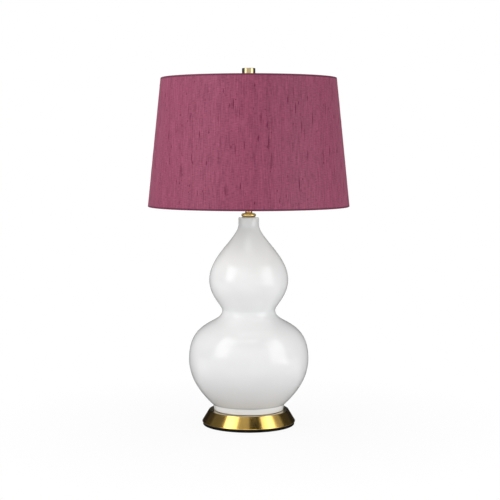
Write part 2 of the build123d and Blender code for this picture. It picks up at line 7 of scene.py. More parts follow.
import bmesh
import bpy
from bpy.types import ID, Material, Mesh, Node, NodeSocket, NodeTree, Object, World
from mathutils import Euler, Matrix, Vector

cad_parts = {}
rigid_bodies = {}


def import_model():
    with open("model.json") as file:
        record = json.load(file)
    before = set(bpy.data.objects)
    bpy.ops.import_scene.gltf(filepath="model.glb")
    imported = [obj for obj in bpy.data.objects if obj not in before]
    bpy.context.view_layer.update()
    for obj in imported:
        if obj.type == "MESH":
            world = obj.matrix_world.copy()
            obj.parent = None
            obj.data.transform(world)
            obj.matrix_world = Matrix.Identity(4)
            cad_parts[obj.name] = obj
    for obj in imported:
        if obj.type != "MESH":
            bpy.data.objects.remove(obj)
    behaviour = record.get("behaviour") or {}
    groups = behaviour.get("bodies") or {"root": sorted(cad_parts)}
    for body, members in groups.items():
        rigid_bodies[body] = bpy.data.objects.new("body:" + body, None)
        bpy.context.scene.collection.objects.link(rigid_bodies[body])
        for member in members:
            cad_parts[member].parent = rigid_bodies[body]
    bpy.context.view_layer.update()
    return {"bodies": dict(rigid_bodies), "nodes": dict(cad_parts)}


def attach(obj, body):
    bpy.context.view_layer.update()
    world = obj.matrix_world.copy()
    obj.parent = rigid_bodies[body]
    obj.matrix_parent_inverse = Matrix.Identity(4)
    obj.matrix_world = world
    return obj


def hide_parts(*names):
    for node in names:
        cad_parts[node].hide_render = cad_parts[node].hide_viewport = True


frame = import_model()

MM = 0.001
FULL_TURN = 2 * pi
GRAIN_BAND = (0.3, 0.7)  # most of a noise's values lie between these
log = logging.getLogger("lamp")

Pair = tuple[float, float]
Triple = tuple[float, float, float]
Value = NodeSocket | float | tuple


class Body(str, Enum):
    """The moving bodies that the new pieces ride on."""

    BASE = "lamp_base"
    HARP = "harp"
    FERRULE_LEFT = "ferrule_left"
    FERRULE_RIGHT = "ferrule_right"
    SHADE = "shade"
    FINIAL = "finial"
    BULB = "bulb"


class Slot(str, Enum):
    """The material slots of the record."""

    PAD = "black_pad"
    IRON = "cast_iron"
    AGED_BRASS = "aged_brass"
    POLISHED_BRASS = "polished_brass"
    GLAZE = "white_glaze"
    GASKET = "clear_gasket"
    ZINC = "zinc_steel"
    BLACK_PLASTIC = "black_plastic"
    NYLON = "white_nylon"
    NICKEL = "nickel_steel"
    WIRE_BROWN = "wire_brown"
    WIRE_BLUE = "wire_blue"
    WIRE_GREEN = "wire_green"
    FIBRE = "grey_fibre"
    BAKELITE = "dark_bakelite"
    OPAL = "opal_glass"
    CLEAR = "clear_glass"
    VITRITE = "black_vitrite"
    TUNGSTEN = "tungsten"
    SILK = "plum_silk"
    LINER = "white_liner"
    WHITE_WIRE = "white_wire"


class Rays(Enum):
    """The surfaces that a lamp of the studio shows on."""

    MATT = "matt"
    GLOSS = "gloss"


class NodeWork:
    """A node tree under construction."""

    def __init__(self, tree: NodeTree) -> None:
        """Keeps the tree that the nodes go into."""
        self.tree = tree

    def add(self, kind: str, wires: dict | None = None, **settings: object) -> Node:
        """Adds a node.

        Args:
            kind: the node's type.
            wires: a socket or a constant for each input, by its name or number.
            settings: the node's own properties.

        Returns:
            The node.
        """
        node = self.tree.nodes.new(kind)
        for name, value in settings.items():
            setattr(node, name, value)
        for key, value in (wires or {}).items():
            self.feed(node.inputs[key], value)
        return node

    def feed(self, socket: NodeSocket, value: Value) -> None:
        """Links a socket to an input, or sets the input's constant.

        Args:
            socket: the input.
            value: another node's output, or a constant.
        """
        if isinstance(value, NodeSocket):
            self.tree.links.new(value, socket)
        else:
            socket.default_value = value

    def math(self, operation: str, *values: Value) -> NodeSocket:
        """The result of a Math node."""
        return self.add("ShaderNodeMath", dict(enumerate(values)), operation=operation).outputs[0]

    def plus(self, first: Value, second: Value) -> NodeSocket:
        """The sum of two numbers."""
        return self.math("ADD", first, second)

    def minus(self, first: Value, second: Value) -> NodeSocket:
        """The difference of two numbers."""
        return self.math("SUBTRACT", first, second)

    def times(self, first: Value, second: Value) -> NodeSocket:
        """The product of two numbers."""
        return self.math("MULTIPLY", first, second)

    def over(self, first: Value, second: Value) -> NodeSocket:
        """One number divided by another."""
        return self.math("DIVIDE", first, second)

    def fused(self, first: Value, second: Value, third: Value) -> NodeSocket:
        """The product of two numbers, with a third added."""
        return self.math("MULTIPLY_ADD", first, second, third)

    def diagonal(self, x: NodeSocket, y: NodeSocket) -> NodeSocket:
        """The distance that two numbers span at right angles."""
        return self.math("SQRT", self.plus(self.times(x, x), self.times(y, y)))

    def vector(self, x: Value, y: Value, z: Value = 0.0) -> NodeSocket:
        """A vector from its three parts."""
        return self.add("ShaderNodeCombineXYZ", {0: x, 1: y, 2: z}).outputs[0]

    def vector_math(self, operation: str, *values: Value) -> NodeSocket:
        """One sum on vectors; its result is a vector."""
        return self.add("ShaderNodeVectorMath", dict(enumerate(values)), operation=operation).outputs[0]

    def scaled(self, vector: Value, factor: Value) -> NodeSocket:
        """A vector times a number."""
        return self.add("ShaderNodeVectorMath", {0: vector, "Scale": factor}, operation="SCALE").outputs[0]

    def length(self, vector: Value) -> NodeSocket:
        """The length of a vector."""
        return self.add("ShaderNodeVectorMath", {0: vector}, operation="LENGTH").outputs["Value"]

    def parts(self, vector: NodeSocket) -> tuple[NodeSocket, ...]:
        """The X, Y and Z of a vector."""
        return tuple(self.add("ShaderNodeSeparateXYZ", {0: vector}).outputs)

    def span(self, value: Value, low: float, high: float, start: float = 0.0, end: float = 1.0) -> NodeSocket:
        """A number mapped from low..high to start..end and held inside it."""
        wires = {"Value": value, "From Min": low, "From Max": high, "To Min": start, "To Max": end}
        return self.add("ShaderNodeMapRange", wires).outputs["Result"]


class Surface(NodeWork):
    """A material under construction, on object coordinates or on the piece's own UV map."""

    def __init__(self, name: str) -> None:
        """Starts a material with a Principled shader.

        Args:
            name: the material's name.
        """
        material = bpy.data.materials.new(name)
        material.use_nodes = True
        super().__init__(material.node_tree)
        self.shader = self.tree.nodes["Principled BSDF"]
        coordinates = self.add("ShaderNodeTexCoord").outputs
        self.place, self.cloth = coordinates["Object"], coordinates["UV"]

    def constants(self, **values: object) -> None:
        """Sets numbers on the shader's own sockets; an underscore stands for a space."""
        for name, value in values.items():
            self.shader.inputs[name.replace("_", " ")].default_value = value

    def noise(
        self, scale: float | Triple, detail: float, rough: float = 0.5, where: Value | None = None
    ) -> NodeSocket:
        """Noise from 0 to 1.

        Args:
            scale: how fine it is, the same every way or along each axis.
            detail: its octaves.
            rough: how much each octave keeps.
            where: the coordinates it is read at, where they aren't the object's.

        Returns:
            The noise's socket.
        """
        place = self.place if where is None else where
        if isinstance(scale, tuple):
            place = self.vector_math("MULTIPLY", place, scale)
            scale = 1.0
        wires = {"Vector": place, "Scale": scale, "Detail": detail, "Roughness": rough}
        return self.add("ShaderNodeTexNoise", wires).outputs["Fac"]

    def blend(self, first: Value, second: Value, share: Value) -> NodeSocket:
        """Two colours mixed.

        Args:
            first: a colour of three parts, or a socket.
            second: the colour mixed in.
            share: how much of the second, from 0 to 1.

        Returns:
            The colour's socket.
        """
        node = self.add("ShaderNodeMix", data_type="RGBA")
        for key, value in ((0, share), (6, first), (7, second)):
            self.feed(node.inputs[key], (*value, 1.0) if isinstance(value, tuple) else value)
        return node.outputs[2]

    def rings(self) -> NodeSocket:
        """A number that is the same all round a turned piece and changes along its outline.

        Returns:
            The number's socket; out and up count differently, so that no slope stands still.
        """
        out_share, up_share = 0.83, 1.17
        x, y, z = self.parts(self.place)
        return self.plus(self.times(self.diagonal(x, y), out_share), self.times(z, up_share))

    def relief(self, height: Value, depth: float, strength: float = 1.0) -> None:
        """Raises the surface.

        Args:
            height: a socket from 0 to 1.
            depth: the height of 1, in metres.
            strength: how much of it shows.
        """
        bump = self.add("ShaderNodeBump", {"Height": height, "Distance": depth, "Strength": strength})
        self.feed(self.shader.inputs["Normal"], bump.outputs["Normal"])

    def colour(self, value: Value) -> None:
        """Feeds the base colour."""
        self.feed(self.shader.inputs["Base Color"], value)

    def roughness(self, value: Value) -> None:
        """Feeds the roughness."""
        self.feed(self.shader.inputs["Roughness"], value)

    def grained(
        self, colours: tuple[Triple, Triple], share: Value, grain: Value, rough: Pair, depth: float
    ) -> None:
        """Sets a colour in patches, and a grain in the roughness and the relief.

        Args:
            colours: the main colour and the patches' colour.
            share: how much of the patches' colour there is.
            grain: the grain.
            rough: the roughness in the grain's hollows and on its crests.
            depth: the grain's height, in metres.
        """
        self.colour(self.blend(*colours, share))
        self.roughness(self.span(grain, *GRAIN_BAND, *rough))
        self.relief(grain, depth)


@dataclass(frozen=True)
class Finish:
    """A finish that is made once and shared by the pieces in its slot."""

    slot: Slot
    base: Triple

    def material(self) -> Material:
        """Gives the finish's material, which is made at its first use.

        Returns:
            The material, named after the slot, the kind and the colour.
        """
        tint = "_".join(f"{round(100 * part):02d}" for part in self.base)
        name = f"{self.slot.value}_{type(self).__name__.lower()}_{tint}"
        if name not in bpy.data.materials:
            self.make(Surface(name))
        return bpy.data.materials[name]

    def make(self, surface: Surface) -> None:
        """Builds the nodes.

        Args:
            surface: the material to fill.
        """
        raise NotImplementedError


@dataclass(frozen=True)
class TurnedMetal(Finish):
    """Lacquered metal, brushed or polished round its axis."""

    tarnish: Triple
    gloss: float
    stretch: float
    lines: float
    stain: float
    lacquer: float
    dull_above: float = 0.0
    dull: Triple = (0.50, 0.39, 0.20)

    def make(self, surface: Surface) -> None:
        """Lays fine lines round the axis, with faint stains.

        Args:
            surface: the material to fill.
        """
        x, y, z = surface.parts(surface.place)
        across, height = 9.0, surface.times(surface.rings(), self.lines)
        around = surface.vector(surface.times(x, across), surface.times(y, across), height)
        lines = surface.noise(1.0, 4.0, 0.65, around)
        stains = surface.noise(34.0, 5.0, 0.6)
        colour = surface.blend(self.base, self.tarnish, surface.span(stains, 0.42, 0.72, 0.0, self.stain))
        colour = surface.blend(colour, self.tarnish, surface.span(lines, *GRAIN_BAND, 0.0, 0.12))
        if self.dull_above:
            top = surface.span(z, self.dull_above - 0.4 * MM, self.dull_above)
            colour = surface.blend(colour, self.dull, top)
        surface.colour(colour)
        haze = surface.times(surface.span(stains, 0.3, 0.75), 0.03)
        brushed = surface.span(lines, 0.25, 0.75, self.gloss - 0.04, self.gloss + 0.05)
        surface.roughness(surface.plus(brushed, haze))
        surface.constants(Metallic=1.0, Anisotropic=self.stretch, Anisotropic_Rotation=0.25)
        surface.constants(Coat_Weight=self.lacquer, Coat_Roughness=0.12)
        tangent = surface.add("ShaderNodeTangent", direction_type="RADIAL", axis="Z")
        surface.feed(surface.shader.inputs["Tangent"], tangent.outputs[0])
        surface.relief(lines, 2e-6)


@dataclass(frozen=True)
class DrawnMetal(Finish):
    """Plated or drawn metal without a clear direction."""

    tarnish: Triple
    gloss: float
    grain: float

    def make(self, surface: Surface) -> None:
        """Lays fine grain and faint clouding.

        Args:
            surface: the material to fill.
        """
        grain = surface.noise(self.grain, 3.0, 0.6)
        cloud = surface.noise(60.0, 4.0, 0.55)
        share = surface.span(cloud, 0.4, 0.75, 0.0, 0.4)
        rough = (self.gloss - 0.06, self.gloss + 0.08)
        surface.grained((self.base, self.tarnish), share, grain, rough, 5e-6)
        surface.constants(Metallic=1.0)


@dataclass(frozen=True)
class Casting(Finish):
    """Rough cast metal."""

    rust: Triple = (0.16, 0.07, 0.03)

    def make(self, surface: Surface) -> None:
        """Lays sand texture, with rust in its hollows.

        Args:
            surface: the material to fill.
        """
        sand = surface.noise(900.0, 5.0, 0.7)
        rust = surface.noise(45.0, 6.0, 0.6)
        surface.colour(surface.blend(self.base, self.rust, surface.span(rust, 0.5, 0.75)))
        surface.roughness(surface.span(sand, 0.2, 0.8, 0.55, 0.85))
        surface.constants(Metallic=0.6)
        surface.relief(sand, 2e-4)


@dataclass(frozen=True)
class Glaze(Finish):
    """White gloss glaze on stoneware. A pool is its height and its reach in millimetres, and its share: a
    darkening towards grey that is partly glaze pooling and partly painted shade.
    """

    pools: tuple[Triple, ...]
    pooled: Triple = (0.70, 0.73, 0.75)
    pinhole: Triple = (0.5, 0.47, 0.42)
    # Below this height the foot ring is painted whiter: painted light, standing in for the light that the
    # ring catches.
    slip: Triple = (0.98, 0.98, 0.97)
    slip_top: float = 40.0
    gloss: float = 0.025
    coat: float = 0.15

    def make(self, surface: Surface) -> None:
        """Lays a glassy white with glaze pooling and painted shade in the creases and at the neck, over a
        foot painted whiter as painted light.

        Args:
            surface: the material to fill.
        """
        _, _, z = surface.parts(surface.place)
        thick = surface.span(surface.noise(11.0, 3.0), 0.35, 0.75, 0.0, 0.10)
        # Each pool darkens towards the grey near its height: partly glaze pooling, partly painted shade.
        for height, reach, share in self.pools:
            away = surface.math("ABSOLUTE", surface.minus(z, height * MM))
            thick = surface.plus(thick, surface.span(away, 0.0, reach * MM, share, 0.0))
        pin = surface.span(surface.noise(1500.0, 2.0), 0.80, 0.84, 0.0, 0.25)
        # The foot is painted whiter here: painted light on the foot ring.
        foot = surface.span(z, (self.slip_top - 1.0) * MM, self.slip_top * MM, 1.0, 0.0)
        clean = surface.blend(surface.blend(self.base, self.pooled, thick), self.slip, foot)
        surface.colour(surface.blend(clean, self.pinhole, pin))
        orange_peel = surface.noise(85.0, 2.0, 0.4)
        surface.roughness(surface.span(orange_peel, *GRAIN_BAND, self.gloss - 0.015, self.gloss + 0.02))
        surface.constants(Specular_IOR_Level=0.5, Coat_Weight=self.coat, Coat_Roughness=0.02)
        surface.relief(orange_peel, 4e-5, 0.35)


@dataclass(frozen=True)
class Moulded(Finish):
    """Moulded plastic, rubber, fibre or enamel."""

    second: Triple
    gloss: float
    grain: float = 800.0
    depth: float = 3e-5
    mottle: float = 0.3
    coat: float = 0.0
    shine: float = 0.5

    def make(self, surface: Surface) -> None:
        """Lays a fine moulded grain over a faint mottle.

        Args:
            surface: the material to fill.
        """
        grain = surface.noise(self.grain, 4.0, 0.6)
        cloud = surface.noise(70.0, 4.0, 0.6)
        share = surface.span(cloud, 0.4, 0.8, 0.0, self.mottle)
        rough = (self.gloss - 0.06, self.gloss + 0.08)
        surface.grained((self.base, self.second), share, grain, rough, self.depth)
        surface.constants(Specular_IOR_Level=self.shine)
        if self.coat:
            surface.constants(Coat_Weight=self.coat, Coat_Roughness=0.08)


@dataclass(frozen=True)
class Glass(Finish):
    """Bulb glass, opal or clear."""

    clear: float = 0.0

    def make(self, surface: Surface) -> None:
        """Lays a faint powder and a veil a little darker than the glass.

        Args:
            surface: the material to fill.
        """
        powder = surface.noise(420.0, 3.0, 0.6)
        veil = surface.noise(28.0, 3.0)
        shade = tuple(0.93 * part for part in self.base)
        surface.grained((self.base, shade), surface.span(veil, 0.35, 0.75), powder, (0.10, 0.16), 8e-6)
        surface.constants(IOR=1.5, Transmission_Weight=self.clear, Coat_Weight=0.6, Coat_Roughness=0.04)


@dataclass(frozen=True)
class SlubSilk(Finish):
    """Woven silk with slubs. Its UV map is the flat pattern in metres round the cone's apex."""

    edges: Pair
    light: Triple = (0.392, 0.092, 0.166)
    dark: Triple = (0.148, 0.024, 0.056)
    # The slubs' colour, which also darkens the edges as painted shade.
    slub: Triple = (0.120, 0.014, 0.046)
    tint: tuple[float, ...] = (1.0, 0.72, 0.84, 1.0)
    # How wide the painted edge shade is, and the share of that width where it is full.
    edge_width: float = 3.8 * MM
    edge_core: float = 0.7

    def make(self, surface: Surface) -> None:
        """Lays threads, streaks and slubs along V, with a faint weft across them, and painted shade along the
        top and bottom edges.

        Args:
            surface: the material to fill.
        """
        cloth = surface.cloth
        thread = surface.noise((2400.0, 46.0, 1.0), 2.0, where=cloth)
        weft = surface.noise((120.0, 900.0, 1.0), 2.0, where=cloth)
        streak = surface.noise((430.0, 34.0, 1.0), 3.0, 0.6, cloth)
        band = surface.noise((70.0, 2.2, 1.0), 3.0, where=cloth)
        tone = surface.plus(surface.times(streak, 0.30), surface.times(band, 0.12))
        tone = surface.plus(tone, surface.times(surface.plus(thread, weft), 0.29))
        body = surface.blend(self.dark, self.light, surface.span(tone, 0.36, 0.64))
        long_slub = surface.span(surface.noise((760.0, 26.0, 1.0), 1.0, where=cloth), 0.70, 0.78)
        short_slub = surface.span(surface.noise((900.0, 120.0, 3.0), 1.0, where=cloth), 0.67, 0.74)
        mark = surface.math("MAXIMUM", long_slub, short_slub)
        marked = surface.blend(body, self.slub, surface.times(mark, 0.6))
        # The edges are darkened with the slub colour: painted shade along the rolled edges.
        surface.colour(surface.blend(marked, self.slub, surface.times(self.hem(surface), 0.85)))
        surface.roughness(surface.span(thread, *GRAIN_BAND, 0.50, 0.66))
        surface.constants(Specular_IOR_Level=0.22, Sheen_Weight=0.05, Sheen_Roughness=0.35)
        surface.constants(Sheen_Tint=self.tint)
        height = surface.plus(surface.times(thread, 0.5), surface.times(mark, 0.5))
        surface.relief(surface.plus(height, surface.times(weft, 0.2)), 2.2e-4, 0.8)

    def hem(self, surface: Surface) -> NodeSocket:
        """Marks the top and bottom edges of the cloth, where shade is painted on.

        Args:
            surface: the material that asks.

        Returns:
            1 on the edges and 0 between them.
        """
        reach = surface.length(surface.cloth)
        top, bottom = [surface.minus(reach, edge) for edge in self.edges]
        core = self.edge_core * self.edge_width
        near = surface.span(top, core, self.edge_width, 1.0, 0.0)
        far = surface.span(bottom, -self.edge_width, -core)
        return surface.math("MAXIMUM", near, far)


@dataclass(frozen=True)
class SlubYarn(Finish):
    """The thick dark places of single threads."""

    fibre: Triple = (0.25, 0.05, 0.10)

    def make(self, surface: Surface) -> None:
        """Lays short twisted fibres.

        Args:
            surface: the material to fill.
        """
        fibre = surface.noise((1800.0, 1800.0, 260.0), 3.0, 0.6)
        share = surface.span(fibre, 0.35, 0.75, 0.0, 0.5)
        surface.grained((self.base, self.fibre), share, fibre, (0.6, 0.8), 1e-4)
        surface.constants(Specular_IOR_Level=0.12)


@dataclass(frozen=True)
class Laminate(Finish):
    """The white sheet inside the shade."""

    aged: Triple = (0.80, 0.77, 0.71)

    def make(self, surface: Surface) -> None:
        """Lays a smooth sheet with a faint web of fibres.

        Args:
            surface: the material to fill.
        """
        web = surface.noise((300.0, 300.0, 90.0), 5.0, 0.65)
        share = surface.span(surface.noise(16.0, 3.0), 0.4, 0.8, 0.0, 0.35)
        surface.grained((self.base, self.aged), share, web, (0.42, 0.56), 4e-5)
        surface.constants(Specular_IOR_Level=0.35)


PAD = Moulded(
    Slot.PAD, (0.008, 0.008, 0.008), (0.016, 0.016, 0.016), 0.8,
    grain=1400.0, depth=1.5e-4, mottle=0.5, shine=0.08,
)
IRON = Casting(Slot.IRON, (0.10, 0.10, 0.10))
BRUSHED_BRASS = TurnedMetal(
    Slot.AGED_BRASS, (0.86, 0.56, 0.15), (0.42, 0.24, 0.05),
    gloss=0.15, stretch=0.2, lines=2600.0, stain=0.12, lacquer=0.15, dull_above=27.6 * MM,
)
FINIAL_BRASS = TurnedMetal(
    Slot.AGED_BRASS, (0.50, 0.41, 0.24), (0.26, 0.20, 0.09),
    gloss=0.13, stretch=0.2, lines=2200.0, stain=0.1, lacquer=0.2,
)
# A darker brass for the neck and its screw: painted shade and painted reflection of the lampshade's dark
# inside.
NECK_BRASS_PAINTED_SHADE = TurnedMetal(
    Slot.POLISHED_BRASS, (0.52, 0.38, 0.20), (0.28, 0.17, 0.06),
    gloss=0.16, stretch=0.2, lines=1800.0, stain=0.15, lacquer=0.2,
)
BRASS = TurnedMetal(
    Slot.POLISHED_BRASS, (0.88, 0.62, 0.24), (0.48, 0.28, 0.07),
    gloss=0.13, stretch=0.35, lines=1800.0, stain=0.15, lacquer=0.3,
)
# The crease and waist pools are glaze pooling with painted crease shade; the wide pool at the neck is painted
# shade under the lampshade.
GLAZE = Glaze(Slot.GLAZE, (0.89, 0.89, 0.89), ((41.0, 2.5, 0.7), (218.0, 16.0, 0.15), (378.0, 60.0, 0.42)))
GASKET = Moulded(Slot.GASKET, (0.62, 0.62, 0.60), (0.45, 0.45, 0.43), 0.5, grain=900.0)
ZINC = DrawnMetal(Slot.ZINC, (0.60, 0.61, 0.62), (0.36, 0.36, 0.35), gloss=0.32, grain=600.0)
BLACK_PLASTIC = Moulded(
    Slot.BLACK_PLASTIC, (0.02, 0.02, 0.02), (0.05, 0.05, 0.05), 0.5, grain=1500.0, depth=5e-5
)
NYLON = Moulded(Slot.NYLON, (0.80, 0.78, 0.72), (0.70, 0.67, 0.60), 0.42, grain=700.0, depth=2e-5)
NICKEL = DrawnMetal(Slot.NICKEL, (0.70, 0.67, 0.61), (0.45, 0.42, 0.38), gloss=0.24, grain=800.0)
PVC_BROWN = Moulded(Slot.WIRE_BROWN, (0.12, 0.045, 0.02), (0.07, 0.03, 0.015), 0.38)
PVC_BLUE = Moulded(Slot.WIRE_BLUE, (0.02, 0.09, 0.40), (0.02, 0.06, 0.28), 0.38)
PVC_GREEN = Moulded(Slot.WIRE_GREEN, (0.10, 0.32, 0.04), (0.55, 0.50, 0.03), 0.38, mottle=0.8)
FIBRE = Moulded(
    Slot.FIBRE, (0.34, 0.30, 0.25), (0.24, 0.20, 0.16), 0.8, grain=420.0, depth=1.5e-4, mottle=0.6
)
BAKELITE = Moulded(
    Slot.BAKELITE, (0.035, 0.018, 0.012), (0.09, 0.045, 0.02), 0.28,
    grain=500.0, depth=1e-5, mottle=0.35, coat=0.5,
)
OPAL = Glass(Slot.OPAL, (0.93, 0.92, 0.89))
CLEAR = Glass(Slot.CLEAR, (0.9, 0.94, 0.94), clear=0.9)
VITRITE = Moulded(
    Slot.VITRITE, (0.012, 0.010, 0.014), (0.03, 0.02, 0.04), 0.12,
    grain=300.0, depth=5e-6, mottle=0.4, coat=0.8,
)
TUNGSTEN = DrawnMetal(Slot.TUNGSTEN, (0.28, 0.27, 0.26), (0.14, 0.13, 0.13), gloss=0.4, grain=2200.0)
SILK = SlubSilk(Slot.SILK, (0.33, 0.08, 0.145), edges=(1.6011, 1.8437))
SLUB = SlubYarn(Slot.SILK, (0.120, 0.014, 0.044))
LINER = Laminate(Slot.LINER, (0.90, 0.88, 0.83))
WHITE_WIRE = Moulded(Slot.WHITE_WIRE, (0.80, 0.79, 0.75), (0.66, 0.64, 0.60), 0.35, grain=900.0)


def placed(name: str, data: ID) -> Object:
    """Puts a new object in the scene.

    Args:
        name: its name.
        data: its mesh, lamp or camera.

    Returns:
        The object.
    """
    item = bpy.data.objects.new(name, data)
    bpy.context.scene.collection.objects.link(item)
    return item


def applied(item: Object) -> Mesh:
    """Applies an object's modifiers and removes the object.

    Args:
        item: the object.

    Returns:
        Its finished mesh.
    """
    graph = bpy.context.evaluated_depsgraph_get()
    mesh = bpy.data.meshes.new_from_object(item.evaluated_get(graph))
    item.modifiers.clear()
    bpy.data.objects.remove(item)
    return mesh


@dataclass(frozen=True)
class Thread:
    """A rolled thread along a turned piece, or none. Sizes in millimetres."""

    depth: float = 0.0
    pitch: float = 1.0
    low: float = 0.0
    high: float = 1.0
    fade: float = 1.0


class Growth(NodeWork):
    """A Geometry Nodes tree with named inputs, that a piece is grown from."""

    def __init__(self, name: str) -> None:
        """Starts a tree that takes and gives geometry.

        Args:
            name: the tree's name.
        """
        super().__init__(bpy.data.node_groups.new(name, "GeometryNodeTree"))
        for way in ("INPUT", "OUTPUT"):
            self.tree.interface.new_socket("Geometry", in_out=way, socket_type="NodeSocketGeometry")
        self.source = self.add("NodeGroupInput")
        self.sink = self.add("NodeGroupOutput")

    def ask(self, kind: str, *names: str) -> list[NodeSocket]:
        """Adds named inputs.

        Args:
            kind: Float, Int, Vector or Material.
            names: what the modifier calls them.

        Returns:
            Their sockets inside the tree.
        """
        for name in names:
            self.tree.interface.new_socket(name, in_out="INPUT", socket_type=f"NodeSocket{kind}")
        return [self.source.outputs[name] for name in names]

    def node(self, kind: str, wires: dict | None = None, **settings: object) -> NodeSocket:
        """Adds a geometry node and gives its first output."""
        return self.add(f"GeometryNode{kind}", wires, **settings).outputs[0]

    def mark(self, name: str) -> NodeSocket:
        """Reads a number that each point carries."""
        return self.node("InputNamedAttribute", {"Name": name}, data_type="FLOAT")

    def turn(self, outline: NodeSocket, rounds: NodeSocket, arm: NodeSocket) -> NodeSocket:
        """Sweeps an outline, which lies an arm's length off, round a circle of that radius."""
        path = self.node("CurvePrimitiveCircle", {"Resolution": rounds, "Radius": arm})
        return self.node("CurveToMesh", {"Curve": path, "Profile Curve": outline})

    def segment(self, steps: Value, start: Value, near: Value, far: Value, end: Value) -> NodeSocket:
        """Draws a cubic curve from its two ends and its two handles."""
        wires = {"Resolution": steps, "Start": start, "Start Handle": near, "End Handle": far, "End": end}
        return self.node("CurvePrimitiveBezierSegment", wires)

    def close(self, shape: NodeSocket) -> "Growth":
        """Ends the tree in Realize Instances and Set Material.

        Args:
            shape: the finished geometry.

        Returns:
            This tree.
        """
        [finish] = self.ask("Material", "Finish")
        smooth = self.node("SetShadeSmooth", {0: shape})
        real = self.node("RealizeInstances", {0: smooth})
        self.feed(self.sink.inputs[0], self.node("SetMaterial", {0: real, "Material": finish}))
        return self

    def grow(self, name: str, host: Mesh, sizes: dict[str, object], finish: Finish) -> Mesh:
        """Runs the tree once and gives its result as a plain mesh.

        Args:
            name: the piece's name.
            host: the mesh that the tree starts from.
            sizes: a value for each named input.
            finish: the finish of the result.

        Returns:
            The grown mesh.
        """
        carrier = placed(name, host)
        modifier = carrier.modifiers.new(self.tree.name, "NODES")
        modifier.node_group = self.tree
        values = {**sizes, "Finish": finish.material()}
        for item in self.tree.interface.items_tree:
            if item.in_out == "INPUT" and item.name in values:
                modifier[item.identifier] = values[item.name]
        mesh = applied(carrier)
        mesh.name = name
        return mesh


def edge_mesh(points: list[Triple], closed: bool, **marks: list[float]) -> Mesh:
    """A mesh of edges that a tree starts from.

    Args:
        points: its vertices in order, in metres.
        closed: whether the last joins the first.
        marks: named numbers, one for each vertex.

    Returns:
        The mesh.
    """
    mesh = bpy.data.meshes.new("route")
    edges = [(i, i + 1) for i in range(len(points) - 1)] + ([(len(points) - 1, 0)] if closed else [])
    mesh.from_pydata(points, edges, [])
    for name, numbers in marks.items():
        mesh.attributes.new(name, "FLOAT", "POINT").data.foreach_set("value", numbers)
    return mesh


def lathe_tree() -> Growth:
    """Builds the tree that turns an outline about Z, with an optional rolled thread on it.

    Returns:
        The tree.
    """
    tree = Growth("Turned piece")
    [arm] = tree.ask("Float", "Arm")
    [rounds] = tree.ask("Int", "Rounds")
    depth, pitch, low, high, fade = tree.ask("Float", *[f"Thread {size}" for size in asdict(Thread())])
    body = tree.turn(tree.node("MeshToCurve", {0: tree.source.outputs[0]}), rounds, arm)
    x, y, z = tree.parts(tree.node("InputPosition"))
    angle = tree.over(tree.math("ARCTAN2", y, x), FULL_TURN)
    phase = tree.minus(tree.over(tree.minus(z, low), pitch), angle)
    wave = tree.fused(tree.math("COSINE", tree.times(phase, FULL_TURN)), -0.5, 0.5)
    rise = tree.over(tree.minus(z, low), fade)
    fall = tree.over(tree.minus(high, z), fade)
    inside = tree.math("MAXIMUM", tree.math("MINIMUM", tree.math("MINIMUM", rise, fall), 1.0), 0.0)
    sink = tree.times(tree.times(wave, inside), tree.times(depth, -1.0))
    outward = tree.vector_math("NORMALIZE", tree.vector(x, y))
    return tree.close(tree.node("SetPosition", {0: body, "Offset": tree.scaled(outward, sink)}))


def wire_tree() -> Growth:
    """Builds the tree that draws a round wire along a route whose corners carry their bend radius.

    Returns:
        The tree.
    """
    tree = Growth("Bent wire")
    [radius] = tree.ask("Float", "Wire radius")
    sides, steps = tree.ask("Int", "Sides", "Bend steps")
    route = tree.node("MeshToCurve", {0: tree.source.outputs[0]})
    wires = {"Curve": route, "Count": steps, "Radius": tree.mark("bend"), "Limit Radius": True}
    curved = tree.node("FilletCurve", wires, mode="POLY")
    ring = tree.node("CurvePrimitiveCircle", {"Resolution": sides, "Radius": radius})
    return tree.close(tree.node("CurveToMesh", {"Curve": curved, "Profile Curve": ring, "Fill Caps": True}))


def finish_mesh(mesh: Mesh, sharp: float = 35.0, weld: float = 1e-6) -> Mesh:
    """Closes seams and poles, points the faces outwards and sets the shading.

    Args:
        mesh: the mesh to finish.
        sharp: edges bent by more degrees than this stay sharp.
        weld: vertices nearer than this become one, in metres.

    Returns:
        The same mesh.
    """
    work = bmesh.new()
    work.from_mesh(mesh)
    bmesh.ops.remove_doubles(work, verts=work.verts, dist=weld)
    bmesh.ops.dissolve_degenerate(work, edges=work.edges, dist=weld / 10)
    bmesh.ops.recalc_face_normals(work, faces=work.faces)
    work.to_mesh(mesh)
    work.free()
    mesh.shade_smooth()
    mesh.set_sharp_from_angle(angle=radians(sharp))
    return mesh


def settle(name: str, mesh: Mesh, finish: Finish, body: Body, *nodes: str) -> Object:
    """Puts a finished mesh in the scene as a piece of the lamp.

    Args:
        name: the piece's name.
        mesh: its mesh, in place.
        finish: its finish.
        body: the body it moves with.
        nodes: the solids it stands for.

    Returns:
        The piece.
    """
    piece = placed(name, mesh)
    if not mesh.materials:
        mesh.materials.append(finish.material())
    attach(piece, body.value)
    if nodes:
        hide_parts(*nodes)
    log.info("%s: %d faces on %s", name, len(mesh.polygons), body.value)
    return piece


def dress(finish: Finish, *nodes: str) -> None:
    """Gives solids of the frame their finish.

    Args:
        finish: the finish.
        nodes: the solids' names.
    """
    for node in nodes:
        for material_slot in frame["nodes"][node].material_slots:
            material_slot.material = finish.material()
        log.info("%s: dressed in %s", node, finish.slot.value)


